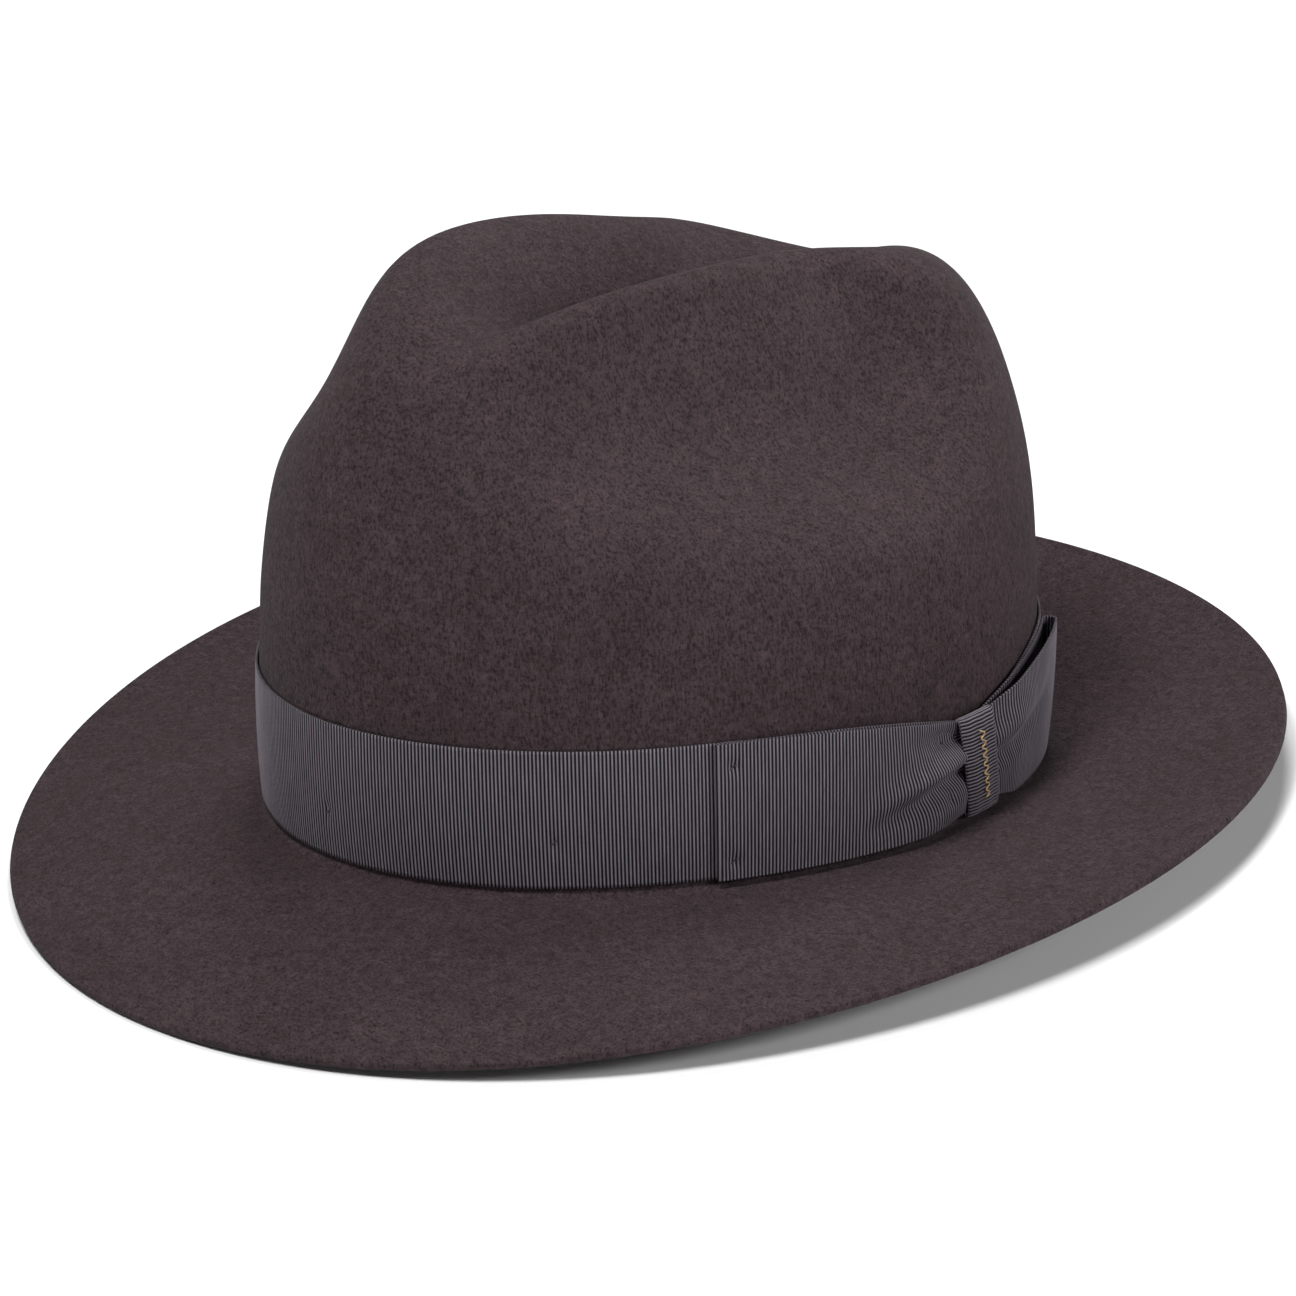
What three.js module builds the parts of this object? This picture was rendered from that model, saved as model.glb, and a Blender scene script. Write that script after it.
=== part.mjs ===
// A fur-felt fedora: crown with a centre crease and two side dents, snapped brim, grosgrain band with a flat
// bow on the wearer's left, and a reeded leather sweatband and satin lining inside.
//
// The hat is drawn upright, with the front towards -Y, the wearer's left towards +X and z = 0 at the brim
// break, where the crown meets the brim. The last lines lean it back until it stands on its own brim.
// All sizes are in millimetres. Angles run round the hat from its front (0) through the wearer's left (90).
import * as THREE from "three";
import { mergeVertices } from "three/addons/utils/BufferGeometryUtils.js";

// ---- driving dimensions ----------------------------------------------------------------------------
const HALF_LENGTH = 107; // outside of the crown at the brim break, front to back
const HALF_WIDTH = 88; // and side to side
const OVAL_EGG = 0.05; // how much fuller the oval is at the back
const OPEN_HEIGHT = 151.8; // the crown before it is creased
const ROUND_RADIUS = 6.03; // superellipse exponents of the crown's profile: radius
const ROUND_HEIGHT = 1.64; // and height
const TAPER_SIDES = 0.081; // how much the sides close in by the top
const TAPER_ENDS = -0.076; // and the front and back, which open out instead
const BULGE = 0.143; // fullness of the wall half way up
const BACK_LEAN = 4.0; // the top sits this far behind the base
const TOP_SLOPE = -0.039; // the top falls this much per 100 mm towards the back

// A crease or a dent fades out as a bell of a given flatness: 2 is a soft bell, 3 has a flatter floor.
const CREASE = { depth: 41.4, centreY: 0.9 };
CREASE.across = { reach: 32.9, flatness: 1.65 };
CREASE.along = { reach: 82.0, flatness: 1.92 };
CREASE.backward = 0.16; // deeper by this part at its back end
CREASE.widening = 0.33; // and wider by this
CREASE.skew = 0.179; // it runs this much towards the wearer's right on its way back
CREASE.from = 0.4; // it starts at this part of the crown's height
CREASE.full = 0.67; // and has its whole depth at this one
const DENT = { depth: 26.3, centreY: 10.0, height: 118.4 };
DENT.stagger = 4.4; // the left dent lies this far behind the middle of the two, the right one before it
DENT.middle = 21.0; // half width of the ridge left between the two
DENT.ahead = 91.2; // its reach from its deepest point in each direction
DENT.behind = 42.5;
DENT.below = 31.7;
DENT.above = 37.4;
DENT.flatness = 4.0;

const FELT = 2.2; // felt thickness
const BREAK_RADIUS = 2.5; // bend between the crown and the brim
const BRIM_WIDTH = 69;
const BRIM_PITCH = -19; // the front is snapped down and the back turned up by this
const BRIM_SADDLE = -3; // the sides rise above the front and back by twice this
const BRIM_CURL = 1.5; // the brim bends more towards its edge

const GAP = 0.3; // clearance kept between neighbouring pieces
const RIBBON = 0.5; // grosgrain thickness
const BAND_FOOT = 2.2; // height of the band's lower edge above the break
const BAND_WIDTH = 35;

const BAND_START = 80; // the band starts under the front loop, runs round the front and comes back to the knot
const BAND_GATHER = { reach: 30.5, drop: 12.5 }; // its top edge drops as it is gathered into the knot

const KNOT = { angle: 109.5, halfAngle: 3.9, foot: 2.0, top: 29.5, lean: 3.2, stand: 5.6 };
const LOOP_FOOT = 1.45; // a loop's back ply runs this far off the felt
const FRONT_LOOP = { end: 66, foldRadius: 0.55, puff: 2.0, dive: 2.0, waist: 0.45, tip: 37.2, middle: 37.2 };
const REAR_LOOP = { end: 141, foldRadius: 2.4, puff: 0.2, dive: 2.7, waist: 0.72, tip: 36.5, middle: 33.7 };

const LINING = { thickness: 0.4, foot: 8, shoulder: 36, top: 84, drawIn: 21 };
const REED = { radius: 0.7, height: 0.5 };
const REED_TAPE = { thickness: 0.3, foot: -0.6, top: 6 };
const LEATHER = { thickness: 0.9, foot: -0.8, top: 36.5, seat: 12 };
const THREAD = 0.22; // radius of sewing thread

const AROUND = 60; // divisions round the hat
const DEGREE = Math.PI / 180;

const range = (count, make) => Array.from({ length: count }, (_, i) => make(i));
const between = (from, to, t) => from + (to - from) * t;

// ---- the shape of the felt -------------------------------------------------------------------------
const clamp01 = (x) => Math.min(1, Math.max(0, x));
const smooth = (from, to, x) => {
  const t = clamp01((x - from) / (to - from));
  return t * t * (3 - 2 * t);
};
const bell = (x, { reach, flatness }) => Math.exp(-(Math.abs(x / reach) ** flatness));

// The oval at the brim break.
function breakOval(angle) {
  const x = HALF_WIDTH * Math.sin(angle) * (1 - OVAL_EGG * Math.cos(angle));
  return new THREE.Vector2(x, -HALF_LENGTH * Math.cos(angle));
}

// The oval's outward direction.
function ovalOutward(angle) {
  const step = 1e-3;
  const along = breakOval(angle + step).sub(breakOval(angle - step));
  return new THREE.Vector2(along.y, -along.x).normalize();
}

// The crown before it is creased. climb runs from 0 at the break to 1 at the middle of the top.
function openCrownPoint(angle, climb) {
  const radius = Math.cos((climb * Math.PI) / 2);
  const level = clamp01(1 - radius ** ROUND_RADIUS) ** (1 / ROUND_HEIGHT);
  const base = breakOval(angle);
  const full = BULGE * level * (1 - level);
  const x = base.x * radius * (1 - TAPER_SIDES * level + full);
  const y = base.y * radius * (1 - TAPER_ENDS * level + full) + BACK_LEAN * level;
  return new THREE.Vector3(x, y, OPEN_HEIGHT * level * (1 + (TOP_SLOPE * y) / 100));
}

// Outer face of the finished crown: the open crown with its crease and its two dents pressed in.
function crownPoint(angle, climb) {
  let { x, y, z } = openCrownPoint(angle, climb);
  const openHeight = z;
  const behind = y - CREASE.centreY;
  const along = behind / CREASE.along.reach;
  const aside = x + CREASE.skew * behind;
  const across = aside / (1 + CREASE.widening * along);
  const creased = smooth(CREASE.from, CREASE.full, z / OPEN_HEIGHT) * (1 + CREASE.backward * along);
  z -= CREASE.depth * creased * bell(behind, CREASE.along) * bell(across, CREASE.across);

  const side = Math.tanh(aside / DENT.middle);
  const dy = y - DENT.centreY - DENT.stagger * side;
  const dz = openHeight - DENT.height;
  const out = Math.hypot(dy / (dy < 0 ? DENT.ahead : DENT.behind), dz / (dz < 0 ? DENT.below : DENT.above));
  x -= side * DENT.depth * Math.exp(-(out ** DENT.flatness));
  return new THREE.Vector3(x, y, z);
}

// The climb at which the open crown's wall reaches a height, leaving TOP_SLOPE aside.
function climbAt(height) {
  const level = Math.max(height, 0) / OPEN_HEIGHT;
  const radius = (1 - level ** ROUND_HEIGHT) ** (1 / ROUND_RADIUS);
  return (Math.acos(radius) * 2) / Math.PI;
}

// Outer face of the brim. reach runs from 0 at the break to 1 at the edge.
function brimPoint(angle, reach) {
  const rise = BRIM_PITCH * Math.cos(angle) + BRIM_SADDLE * Math.cos(2 * angle);
  const flat = Math.sqrt(BRIM_WIDTH ** 2 - rise ** 2) * reach;
  const plan = breakOval(angle).addScaledVector(ovalOutward(angle), flat);
  return new THREE.Vector3(plan.x, plan.y, rise * reach ** BRIM_CURL);
}

// The small bend between them. turn runs from 0 on the brim side to 1 on the crown side, where it meets the
// crown's wall.
function breakPoint(angle, turn) {
  const bend = (1 - turn) * 90 * DEGREE;
  const foot = openCrownPoint(angle, climbAt(BREAK_RADIUS));
  const plan = breakOval(angle).lerp(new THREE.Vector2(foot.x, foot.y), turn);
  plan.addScaledVector(ovalOutward(angle), BREAK_RADIUS * (1 - Math.cos(bend)));
  return new THREE.Vector3(plan.x, plan.y, BREAK_RADIUS * (1 - Math.sin(bend)));
}

// The rings of the felt's outer face, from the brim's edge to the middle of the top. A ring says which
// surface it lies on, where on it, and which way that surface's second argument runs from edge to top.
const BRIM_REACHES = [1, 0.94, 0.8, 0.64, 0.48, 0.32, 0.18, 0.08];
const BREAK_TURNS = [0, 0.33, 0.67, 1];
const WALL_HEIGHTS = [6, 14, 26, 38, 50, 61, 71, 81, 90, 99];
const TOP_START = 106;
const TOP_RINGS = 11;
function feltRings() {
  const topStart = climbAt(TOP_START);
  const topClimb = (i) => topStart + ((1 - topStart) * i) / TOP_RINGS;
  return [
    ...BRIM_REACHES.map((place) => ({ surface: brimPoint, place, runs: -1 })),
    ...BREAK_TURNS.map((place) => ({ surface: breakPoint, place, runs: 1 })),
    ...WALL_HEIGHTS.map((height) => ({ surface: crownPoint, place: climbAt(height), runs: 1 })),
    ...range(TOP_RINGS, (i) => ({ surface: crownPoint, place: topClimb(i), runs: 1 })),
  ];
}

// Outward direction of a surface at a ring.
function ringNormal({ surface, place, runs }, angle) {
  const step = 1e-3;
  const round = surface(angle + step, place).sub(surface(angle - step, place));
  const up = surface(angle, place + runs * step).sub(surface(angle, place - runs * step));
  return round.cross(up).normalize();
}

// A point on the open crown's wall at a height, moved outward by offset (inward if it is negative).
// The dents don't reach down to the band, so the band and the sweatband lie on the open crown too.
function wallPoint(angle, height, offset) {
  const climb = climbAt(height);
  const step = 1e-3;
  const round = openCrownPoint(angle + step, climb).sub(openCrownPoint(angle - step, climb));
  const up = openCrownPoint(angle, climb + step).sub(openCrownPoint(angle, Math.max(climb - step, 0)));
  const normal = round.cross(up).normalize();
  const point = openCrownPoint(angle, climb).addScaledVector(normal, offset);
  if (height < 0) point.z += height;
  return point;
}

// ---- mesh building ---------------------------------------------------------------------------------
// A closed solid between two skins, given as grids of the same size: outer[i][j] and inner[i][j], with i
// round the hat and j across. wrap joins the last column to the first; poles are the middles of the two last
// rows, where each skin closes.
function skinSolid(outer, inner, { wrap = false, poles = null } = {}) {
  const columns = outer.length;
  const rows = outer[0].length;
  const points = [...outer.flat(), ...inner.flat()];
  const out = (i, j) => (i % columns) * rows + j;
  const back = (i, j) => columns * rows + out(i, j);
  const faces = [];
  const quad = (a, b, c, d) => faces.push(a, b, c, a, c, d);
  const spans = wrap ? columns : columns - 1;
  for (let i = 0; i < spans; i++) {
    for (let j = 0; j < rows - 1; j++) {
      quad(out(i, j), out(i + 1, j), out(i + 1, j + 1), out(i, j + 1));
      quad(back(i, j), back(i, j + 1), back(i + 1, j + 1), back(i + 1, j));
    }
    quad(out(i, 0), back(i, 0), back(i + 1, 0), out(i + 1, 0));
    if (poles) {
      faces.push(out(i, rows - 1), out(i + 1, rows - 1), points.length);
      faces.push(back(i + 1, rows - 1), back(i, rows - 1), points.length + 1);
    } else {
      quad(out(i, rows - 1), out(i + 1, rows - 1), back(i + 1, rows - 1), back(i, rows - 1));
    }
  }
  if (poles) points.push(...poles);
  if (!wrap) {
    for (let j = 0; j < rows - 1; j++) {
      const last = columns - 1;
      quad(out(0, j), out(0, j + 1), back(0, j + 1), back(0, j));
      quad(out(last, j), back(last, j), back(last, j + 1), out(last, j + 1));
    }
  }
  const geometry = new THREE.BufferGeometry().setFromPoints(points);
  geometry.setIndex(faces);
  geometry.computeVertexNormals();
  return geometry;
}

// A strip on the wall. heights(angle) lists the rows' heights, offsets(height) gives the outer and inner face.
function wallStrip({ from = 0, to = 360, heights, offsets, columns = AROUND, wrap = false }) {
  const count = wrap ? columns : columns + 1;
  const skin = (side) =>
    range(count, (i) => {
      const angle = between(from, to, i / columns);
      return heights(angle).map((height) => wallPoint(angle * DEGREE, height, offsets(height)[side]));
    });
  return skinSolid(skin(0), skin(1), { wrap });
}

// A round cord along a closed line of points.
function cordRing(points, radius, sides = 5) {
  const columns = points.length;
  const positions = [];
  points.forEach((point, i) => {
    const ahead = points[(i + 1) % columns];
    const behind = points[(i + columns - 1) % columns];
    const along = ahead.clone().sub(behind).normalize();
    const across = new THREE.Vector3(0, 0, 1).cross(along).normalize();
    const up = along.clone().cross(across);
    for (let k = 0; k < sides; k++) {
      const turn = (k / sides) * 2 * Math.PI;
      const spoke = across.clone().multiplyScalar(radius * Math.cos(turn));
      positions.push(point.clone().add(spoke).addScaledVector(up, radius * Math.sin(turn)));
    }
  });
  const faces = [];
  for (let i = 0; i < columns; i++) {
    for (let k = 0; k < sides; k++) {
      const a = i * sides + k;
      const b = i * sides + ((k + 1) % sides);
      const c = ((i + 1) % columns) * sides + k;
      const d = ((i + 1) % columns) * sides + ((k + 1) % sides);
      faces.push(a, d, c, a, b, d);
    }
  }
  const geometry = new THREE.BufferGeometry().setFromPoints(positions);
  geometry.setIndex(faces);
  geometry.computeVertexNormals();
  return geometry;
}

// A thread or cord along an open line of points.
function cordAlong(points, radius, steps, sides = 6) {
  const section = new THREE.Shape(
    range(sides, (k) => {
      const turn = (k / sides) * 2 * Math.PI;
      return new THREE.Vector2(radius * Math.cos(turn), radius * Math.sin(turn));
    }),
  );
  const path = new THREE.CatmullRomCurve3(points, false, "centripetal");
  return new THREE.ExtrudeGeometry(section, { steps, extrudePath: path, bevelEnabled: false });
}

// ---- the pieces ------------------------------------------------------------------------------------
// Felt body: crown and brim blocked from one felt cone.
function feltBody() {
  const rings = feltRings();
  const angles = range(AROUND, (i) => (i / AROUND) * 360 * DEGREE);
  const grid = angles.map((angle) => rings.map((ring) => ring.surface(angle, ring.place)));
  const inner = grid.map((line, i) =>
    line.map((point, j) => point.clone().addScaledVector(ringNormal(rings[j], angles[i]), -FELT)),
  );
  const apex = crownPoint(0, 1);
  const innerApex = apex.clone().add(new THREE.Vector3(0, 0, -FELT));
  return skinSolid(grid, inner, { wrap: true, poles: [apex, innerApex] });
}

// Band: one ribbon round the crown. It starts under the bow's front loop and ends gathered under the knot.
const heightsFrom = (foot, top, rows) => range(rows, (j) => between(foot, top, j / (rows - 1)));
function bandTop(angle) {
  const clear = clamp01((angle - KNOT.angle) / BAND_GATHER.reach);
  return BAND_FOOT + BAND_WIDTH - BAND_GATHER.drop * (1 - clear) ** 2;
}

function hatBand() {
  return wallStrip({
    from: KNOT.angle - 1.5,
    to: BAND_START + 360,
    heights: (angle) => heightsFrom(BAND_FOOT, bandTop(angle), 3),
    offsets: () => [GAP + RIBBON, GAP],
  });
}

// A bow loop: a ribbon that leaves the knot close to the band, turns round a fold at its end and comes back
// as the front ply, which stands prouder in the middle and dives under the knot.
const DEGREES_PER_MM = 1 / (HALF_LENGTH * DEGREE); // along the crown's side
const PLEAT = { height: 0.8, count: 1.5 };

// Where a loop lies: side is 1 behind the knot and -1 in front of it.
function loopSpan(loop) {
  const side = Math.sign(loop.end - KNOT.angle);
  const knotSide = KNOT.angle + side * (KNOT.halfAngle + 0.25);
  const turnCentre = loop.end - side * loop.foldRadius * DEGREES_PER_MM;
  return { side, knotSide, turnCentre };
}

// The front ply's distance from the felt. near runs from 0 at the fold to 1 at the knot.
function frontPlyOffset(loop, near) {
  const puff = loop.puff * smooth(0.3, 0.85, near) - loop.dive * smooth(0.75, 1, near);
  return LOOP_FOOT + 2 * loop.foldRadius + puff;
}

// The line that the ribbon's middle follows round the loop.
function loopStations(loop) {
  const { side, knotSide, turnCentre } = loopSpan(loop);
  const steps = 10;
  const turns = 4;
  const back = range(steps + 1, (i) => ({
    angle: between(knotSide, turnCentre, i / steps),
    offset: LOOP_FOOT,
    near: 1 - i / steps,
  }));
  const fold = range(turns - 1, (k) => {
    const turn = ((k + 1) / turns) * Math.PI;
    return {
      angle: turnCentre + side * loop.foldRadius * Math.sin(turn) * DEGREES_PER_MM,
      offset: LOOP_FOOT + loop.foldRadius * (1 - Math.cos(turn)),
      near: 0,
    };
  });
  const front = range(steps + 1, (i) => ({
    angle: between(turnCentre, knotSide, i / steps),
    offset: frontPlyOffset(loop, i / steps),
    near: i / steps,
    front: true,
  }));
  return [...back, ...fold, ...front];
}

// A point of a loop's ribbon: across runs from 0 at its lower edge to 1 at its upper edge.
function loopPoint(loop, station, across) {
  const gather = smooth(loop.waist, 1, station.near);
  const open = between(loop.middle, loop.tip, 1 - smooth(0, 0.35, station.near));
  const height = between(BAND_FOOT, between(open, KNOT.top - 0.5, gather), across);
  const pleat = station.front ? PLEAT.height * gather * Math.sin(across * 2 * Math.PI * PLEAT.count) : 0;
  const lean = KNOT.lean * gather * (0.5 - across);
  return wallPoint((station.angle + lean) * DEGREE, height, station.offset + pleat);
}

function bowLoop(loop) {
  const { side } = loopSpan(loop);
  const stations = loopStations(loop);
  const rows = 7;
  const skin = (shift) =>
    stations.map((station, i) => {
      const ahead = stations[Math.min(i + 1, stations.length - 1)];
      const behind = stations[Math.max(i - 1, 0)];
      const run = (side * (ahead.angle - behind.angle)) / DEGREES_PER_MM;
      const rise = ahead.offset - behind.offset;
      const length = Math.hypot(run, rise);
      const shifted = {
        ...station,
        angle: station.angle - ((side * shift * rise) / length) * DEGREES_PER_MM,
        offset: station.offset + (shift * run) / length,
      };
      return range(rows, (j) => loopPoint(loop, shifted, j / (rows - 1)));
    });
  const inside = skin(RIBBON / 2);
  const outside = skin(-RIBBON / 2);
  return side > 0 ? skinSolid(inside, outside) : skinSolid(outside, inside);
}

// A point on the outer face of a loop's front ply, lifted by proud.
function onLoop(loop, angle, height, proud) {
  const { knotSide, turnCentre } = loopSpan(loop);
  const near = clamp01((angle - turnCentre) / (knotSide - turnCentre));
  const offset = frontPlyOffset(loop, near) + RIBBON / 2 + PLEAT.height * smooth(loop.waist, 1, near) + proud;
  return wallPoint(angle * DEGREE, height, offset);
}

// Knot: the short ribbon wrapped tightly over the bow's waist, with rounded shoulders. A point on its face is
// given by across, from -1 to 1, up, from 0 at its foot to 1 at its top, and proud, a lift off the face.
function onKnot(across, up, proud) {
  const height = between(KNOT.foot, KNOT.top, up);
  const angle = KNOT.angle + across * KNOT.halfAngle + KNOT.lean * (0.5 - up);
  const shoulders = (1 - 0.3 * across ** 4) * (1 - 0.35 * (2 * up - 1) ** 6);
  return wallPoint(angle * DEGREE, height, KNOT.stand * shoulders + proud);
}

function bowKnot() {
  const columns = 8;
  const rows = 7;
  const foot = GAP * 2 + RIBBON;
  const grid = (point) =>
    range(columns + 1, (i) => range(rows, (j) => point((2 * i) / columns - 1, j / (rows - 1))));
  const outer = grid((across, up) => onKnot(across, up, 0));
  const inner = grid((across, up) => {
    const angle = KNOT.angle + across * KNOT.halfAngle + KNOT.lean * (0.5 - up);
    return wallPoint(angle * DEGREE, between(KNOT.foot, KNOT.top, up), foot);
  });
  return skinSolid(outer, inner);
}

// Knot trim: a plain zigzag of bright thread down the knot.
const TRIM = { zigs: 16, foot: 0.16, top: 0.86, across: -0.15, reach: 0.13 };
function knotTrim() {
  const points = range(TRIM.zigs + 1, (i) => {
    const across = TRIM.across + (i % 2 ? TRIM.reach : -TRIM.reach);
    return onKnot(across, between(TRIM.foot, TRIM.top, i / TRIM.zigs), THREAD + 0.1);
  });
  return cordAlong(points, THREAD, TRIM.zigs * 3, 5);
}

// Tack: one hand stitch, a short dash of thread lying on a ribbon. place(angle, height, proud) is its ground.
const onBand = (angle, height, proud) => wallPoint(angle * DEGREE, height, GAP + RIBBON + proud);
const onFrontLoop = (angle, height, proud) => onLoop(FRONT_LOOP, angle, height, proud);
function tack(place, angle, height) {
  const reach = 0.9 * DEGREES_PER_MM;
  const ends = [-1, 0, 1].map((side) => {
    const lift = side === 0 ? 0.2 : 0.1;
    return place(angle + side * reach, height + side * 0.5, THREAD + lift);
  });
  return cordAlong(ends, THREAD, 4);
}

// Depths of the inner layers below the felt's outer face.
const LINING_FACE = -(FELT + GAP);
const TAPE_FACE = -(FELT + GAP);
const REED_DEPTH = TAPE_FACE - REED_TAPE.thickness - GAP - REED.radius;
const LEATHER_FOOT = REED_DEPTH - REED.radius - GAP;
const LEATHER_WALL = LINING_FACE - LINING.thickness - GAP;

function liningWall() {
  const drawIn = (height) => -LINING.drawIn * smooth(LINING.shoulder, LINING.top, height);
  return wallStrip({
    heights: () => [LINING.foot, 25, LINING.shoulder, 55, 70, LINING.top],
    offsets: (height) => {
      const face = LINING_FACE + drawIn(height);
      return [face, face - LINING.thickness];
    },
    wrap: true,
  });
}

// The oval in which the lining's wall ends.
function liningEdge(angle, inset, lift) {
  return wallPoint(angle, LINING.top + lift, LINING_FACE - LINING.drawIn - inset);
}

function liningTip() {
  const columns = AROUND;
  const dome = 2.5;
  const insets = [0.3, 24];
  const centre = new THREE.Vector3(0, BACK_LEAN, LINING.top);
  const skin = (lift) =>
    range(columns, (i) => {
      const angle = (i / columns) * 360 * DEGREE;
      const edge = liningEdge(angle, 0, 0);
      return insets.map((inset) => {
        const toMiddle = Math.min(1, inset / edge.distanceTo(centre));
        const point = edge.clone().lerp(centre, toMiddle);
        point.z = LINING.top + 1 + lift + dome * (1 - (1 - toMiddle) ** 2);
        return point;
      });
    });
  const poles = [LINING.thickness, 0].map((lift) => {
    return new THREE.Vector3(centre.x, centre.y, LINING.top + 1 + lift + dome);
  });
  return skinSolid(skin(LINING.thickness), skin(0), { wrap: true, poles });
}

// Piping: the cord sewn into the seam between the lining's wall and its tip.
function liningPiping() {
  const points = range(AROUND, (i) => liningEdge((i / AROUND) * 360 * DEGREE, -1.1, 0.4));
  return cordRing(points, 0.6);
}

function reedTape() {
  return wallStrip({
    heights: () => [REED_TAPE.foot, REED_TAPE.top],
    offsets: () => [TAPE_FACE, TAPE_FACE - REED_TAPE.thickness],
    wrap: true,
  });
}

function reed() {
  const points = range(AROUND, (i) => {
    return wallPoint((i / AROUND) * 360 * DEGREE, REED.height, REED_DEPTH);
  });
  return cordRing(points, REED.radius);
}

// Sweatband: leather that curves in over the reed at its foot; its ends meet at the back.
const leatherFace = (height) => between(LEATHER_FOOT, LEATHER_WALL, smooth(2, LEATHER.seat, height));
function sweatband() {
  const halfGap = 0.2;
  return wallStrip({
    from: 180 + halfGap,
    to: 540 - halfGap,
    heights: () => [LEATHER.foot, 2, 5.5, 9, LEATHER.seat, LEATHER.top],
    offsets: (height) => [leatherFace(height), leatherFace(height) - LEATHER.thickness],
  });
}

const onLeather = (angle, height, proud) => {
  return wallPoint(angle * DEGREE, height, leatherFace(height) - LEATHER.thickness - proud);
};

function sweatbandStitching() {
  const seamHeight = 4.5;
  const points = range(AROUND, (i) => onLeather((i / AROUND) * 360, seamHeight, THREAD + 0.35));
  return cordRing(points, THREAD, 4);
}

// Seam lace: a zigzag thread that draws the sweatband's two ends together.
function seamLace() {
  const zigs = 12;
  const reach = 1.1;
  const points = range(zigs + 1, (i) => {
    const height = between(14, LEATHER.top - 2, i / zigs);
    return onLeather(180 + (i % 2 ? reach : -reach), height, THREAD + 0.35);
  });
  return cordAlong(points, THREAD, zigs * 4, 5);
}

// The small ribbon bow that marks the back of the sweatband: two loops and a knot.
const SMALL_BOW = { height: 8.5, reach: 9, halfKnot: 1.3, waist: 1.6, width: 4.6, stand: 1.15 };
function smallBowLoop(side) {
  const columns = 6;
  const rows = 4;
  const skin = (proud) =>
    range(columns + 1, (i) => {
      const t = i / columns;
      const angle = 180 + side * between(SMALL_BOW.halfKnot + 0.25, SMALL_BOW.reach, t);
      const half = between(SMALL_BOW.waist, SMALL_BOW.width, Math.sin((t * Math.PI) / 2));
      const belly = 1 + 1.2 * Math.sin(t * Math.PI);
      return range(rows, (j) => {
        const height = SMALL_BOW.height + between(-half, half, j / (rows - 1));
        return onLeather(angle, height, proud ? proud + belly : SMALL_BOW.stand);
      });
    });
  return side > 0 ? skinSolid(skin(0), skin(RIBBON)) : skinSolid(skin(RIBBON), skin(0));
}

function smallBowKnot() {
  const half = SMALL_BOW.waist + 0.5;
  const skin = (proud) =>
    range(5, (i) => {
      const across = i / 2 - 1;
      const angle = 180 + SMALL_BOW.halfKnot * across;
      return range(5, (j) => {
        const up = j / 2 - 1;
        const round = proud ? 1 - 0.25 * (across ** 2 + up ** 2) : 1;
        return onLeather(angle, SMALL_BOW.height + half * up, (proud || SMALL_BOW.stand) * round);
      });
    });
  return skinSolid(skin(0), skin(3.2));
}

// Size tab: a small blank tab glued to the sweatband beside its back seam.
function sizeTab() {
  return wallStrip({
    from: 196,
    to: 205,
    heights: () => [17, 27],
    offsets: (height) => {
      const face = leatherFace(height) - LEATHER.thickness - GAP - 0.15;
      return [face, face - 0.35];
    },
    columns: 6,
  });
}

// ---- assembly --------------------------------------------------------------------------------------
const FINISHES = {
  felt: { color: 0x3d3437, roughness: 0.95 },
  ribbon: { color: 0x3b383d, roughness: 0.6 },
  bowRibbon: { color: 0x3a373c, roughness: 0.58 },
  trimThread: { color: 0xa88757, roughness: 0.4, metalness: 0.3 },
  ribbonThread: { color: 0x2a282c, roughness: 0.7 },
  leather: { color: 0x4a2f20, roughness: 0.55 },
  reedPlastic: { color: 0xd8d2c4, roughness: 0.4 },
  tape: { color: 0x262326, roughness: 0.8 },
  leatherThread: { color: 0x6a4a34, roughness: 0.7 },
  satin: { color: 0x37303a, roughness: 0.35 },
  piping: { color: 0x5a5058, roughness: 0.5 },
  smallRibbon: { color: 0x2c292d, roughness: 0.5 },
  tab: { color: 0xd9d3c6, roughness: 0.8 },
};

const hat = new THREE.Group();
function add(name, geometry, finish) {
  for (const attribute of ["normal", "uv"]) geometry.deleteAttribute(attribute);
  const merged = mergeVertices(geometry, 1e-4);
  merged.computeVertexNormals();
  const material = new THREE.MeshStandardMaterial({ metalness: 0, ...FINISHES[finish] });
  const mesh = new THREE.Mesh(merged, material);
  mesh.name = name;
  hat.add(mesh);
}

add("felt_body", feltBody(), "felt");
add("hat_band", hatBand(), "ribbon");
add("bow_front_loop", bowLoop(FRONT_LOOP), "bowRibbon");
add("bow_rear_loop", bowLoop(REAR_LOOP), "bowRibbon");
add("bow_knot", bowKnot(), "bowRibbon");
add("bow_knot_trim", knotTrim(), "trimThread");

const TACKS = {
  band_tack_front: [onBand, 4, 14],
  band_tack_side: [onBand, 43.4, 14],
  bow_tack_end_upper: [onFrontLoop, 68.2, 31.2],
  bow_tack_end_lower: [onFrontLoop, 68.2, 7],
  bow_tack_knot_upper: [onFrontLoop, 102, 25],
  bow_tack_knot_lower: [onFrontLoop, 102.4, 9.5],
};
for (const [name, place] of Object.entries(TACKS)) add(name, tack(...place), "ribbonThread");

add("sweatband", sweatband(), "leather");
add("sweatband_reed", reed(), "reedPlastic");
add("sweatband_reed_tape", reedTape(), "tape");
add("sweatband_stitching", sweatbandStitching(), "leatherThread");
add("sweatband_seam_lace", seamLace(), "leatherThread");
add("sweatband_bow_left_loop", smallBowLoop(-1), "smallRibbon");
add("sweatband_bow_right_loop", smallBowLoop(1), "smallRibbon");
add("sweatband_bow_knot", smallBowKnot(), "smallRibbon");
add("size_tab", sizeTab(), "tab");
add("lining_wall", liningWall(), "satin");
add("lining_tip", liningTip(), "satin");
add("lining_piping", liningPiping(), "piping");

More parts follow.
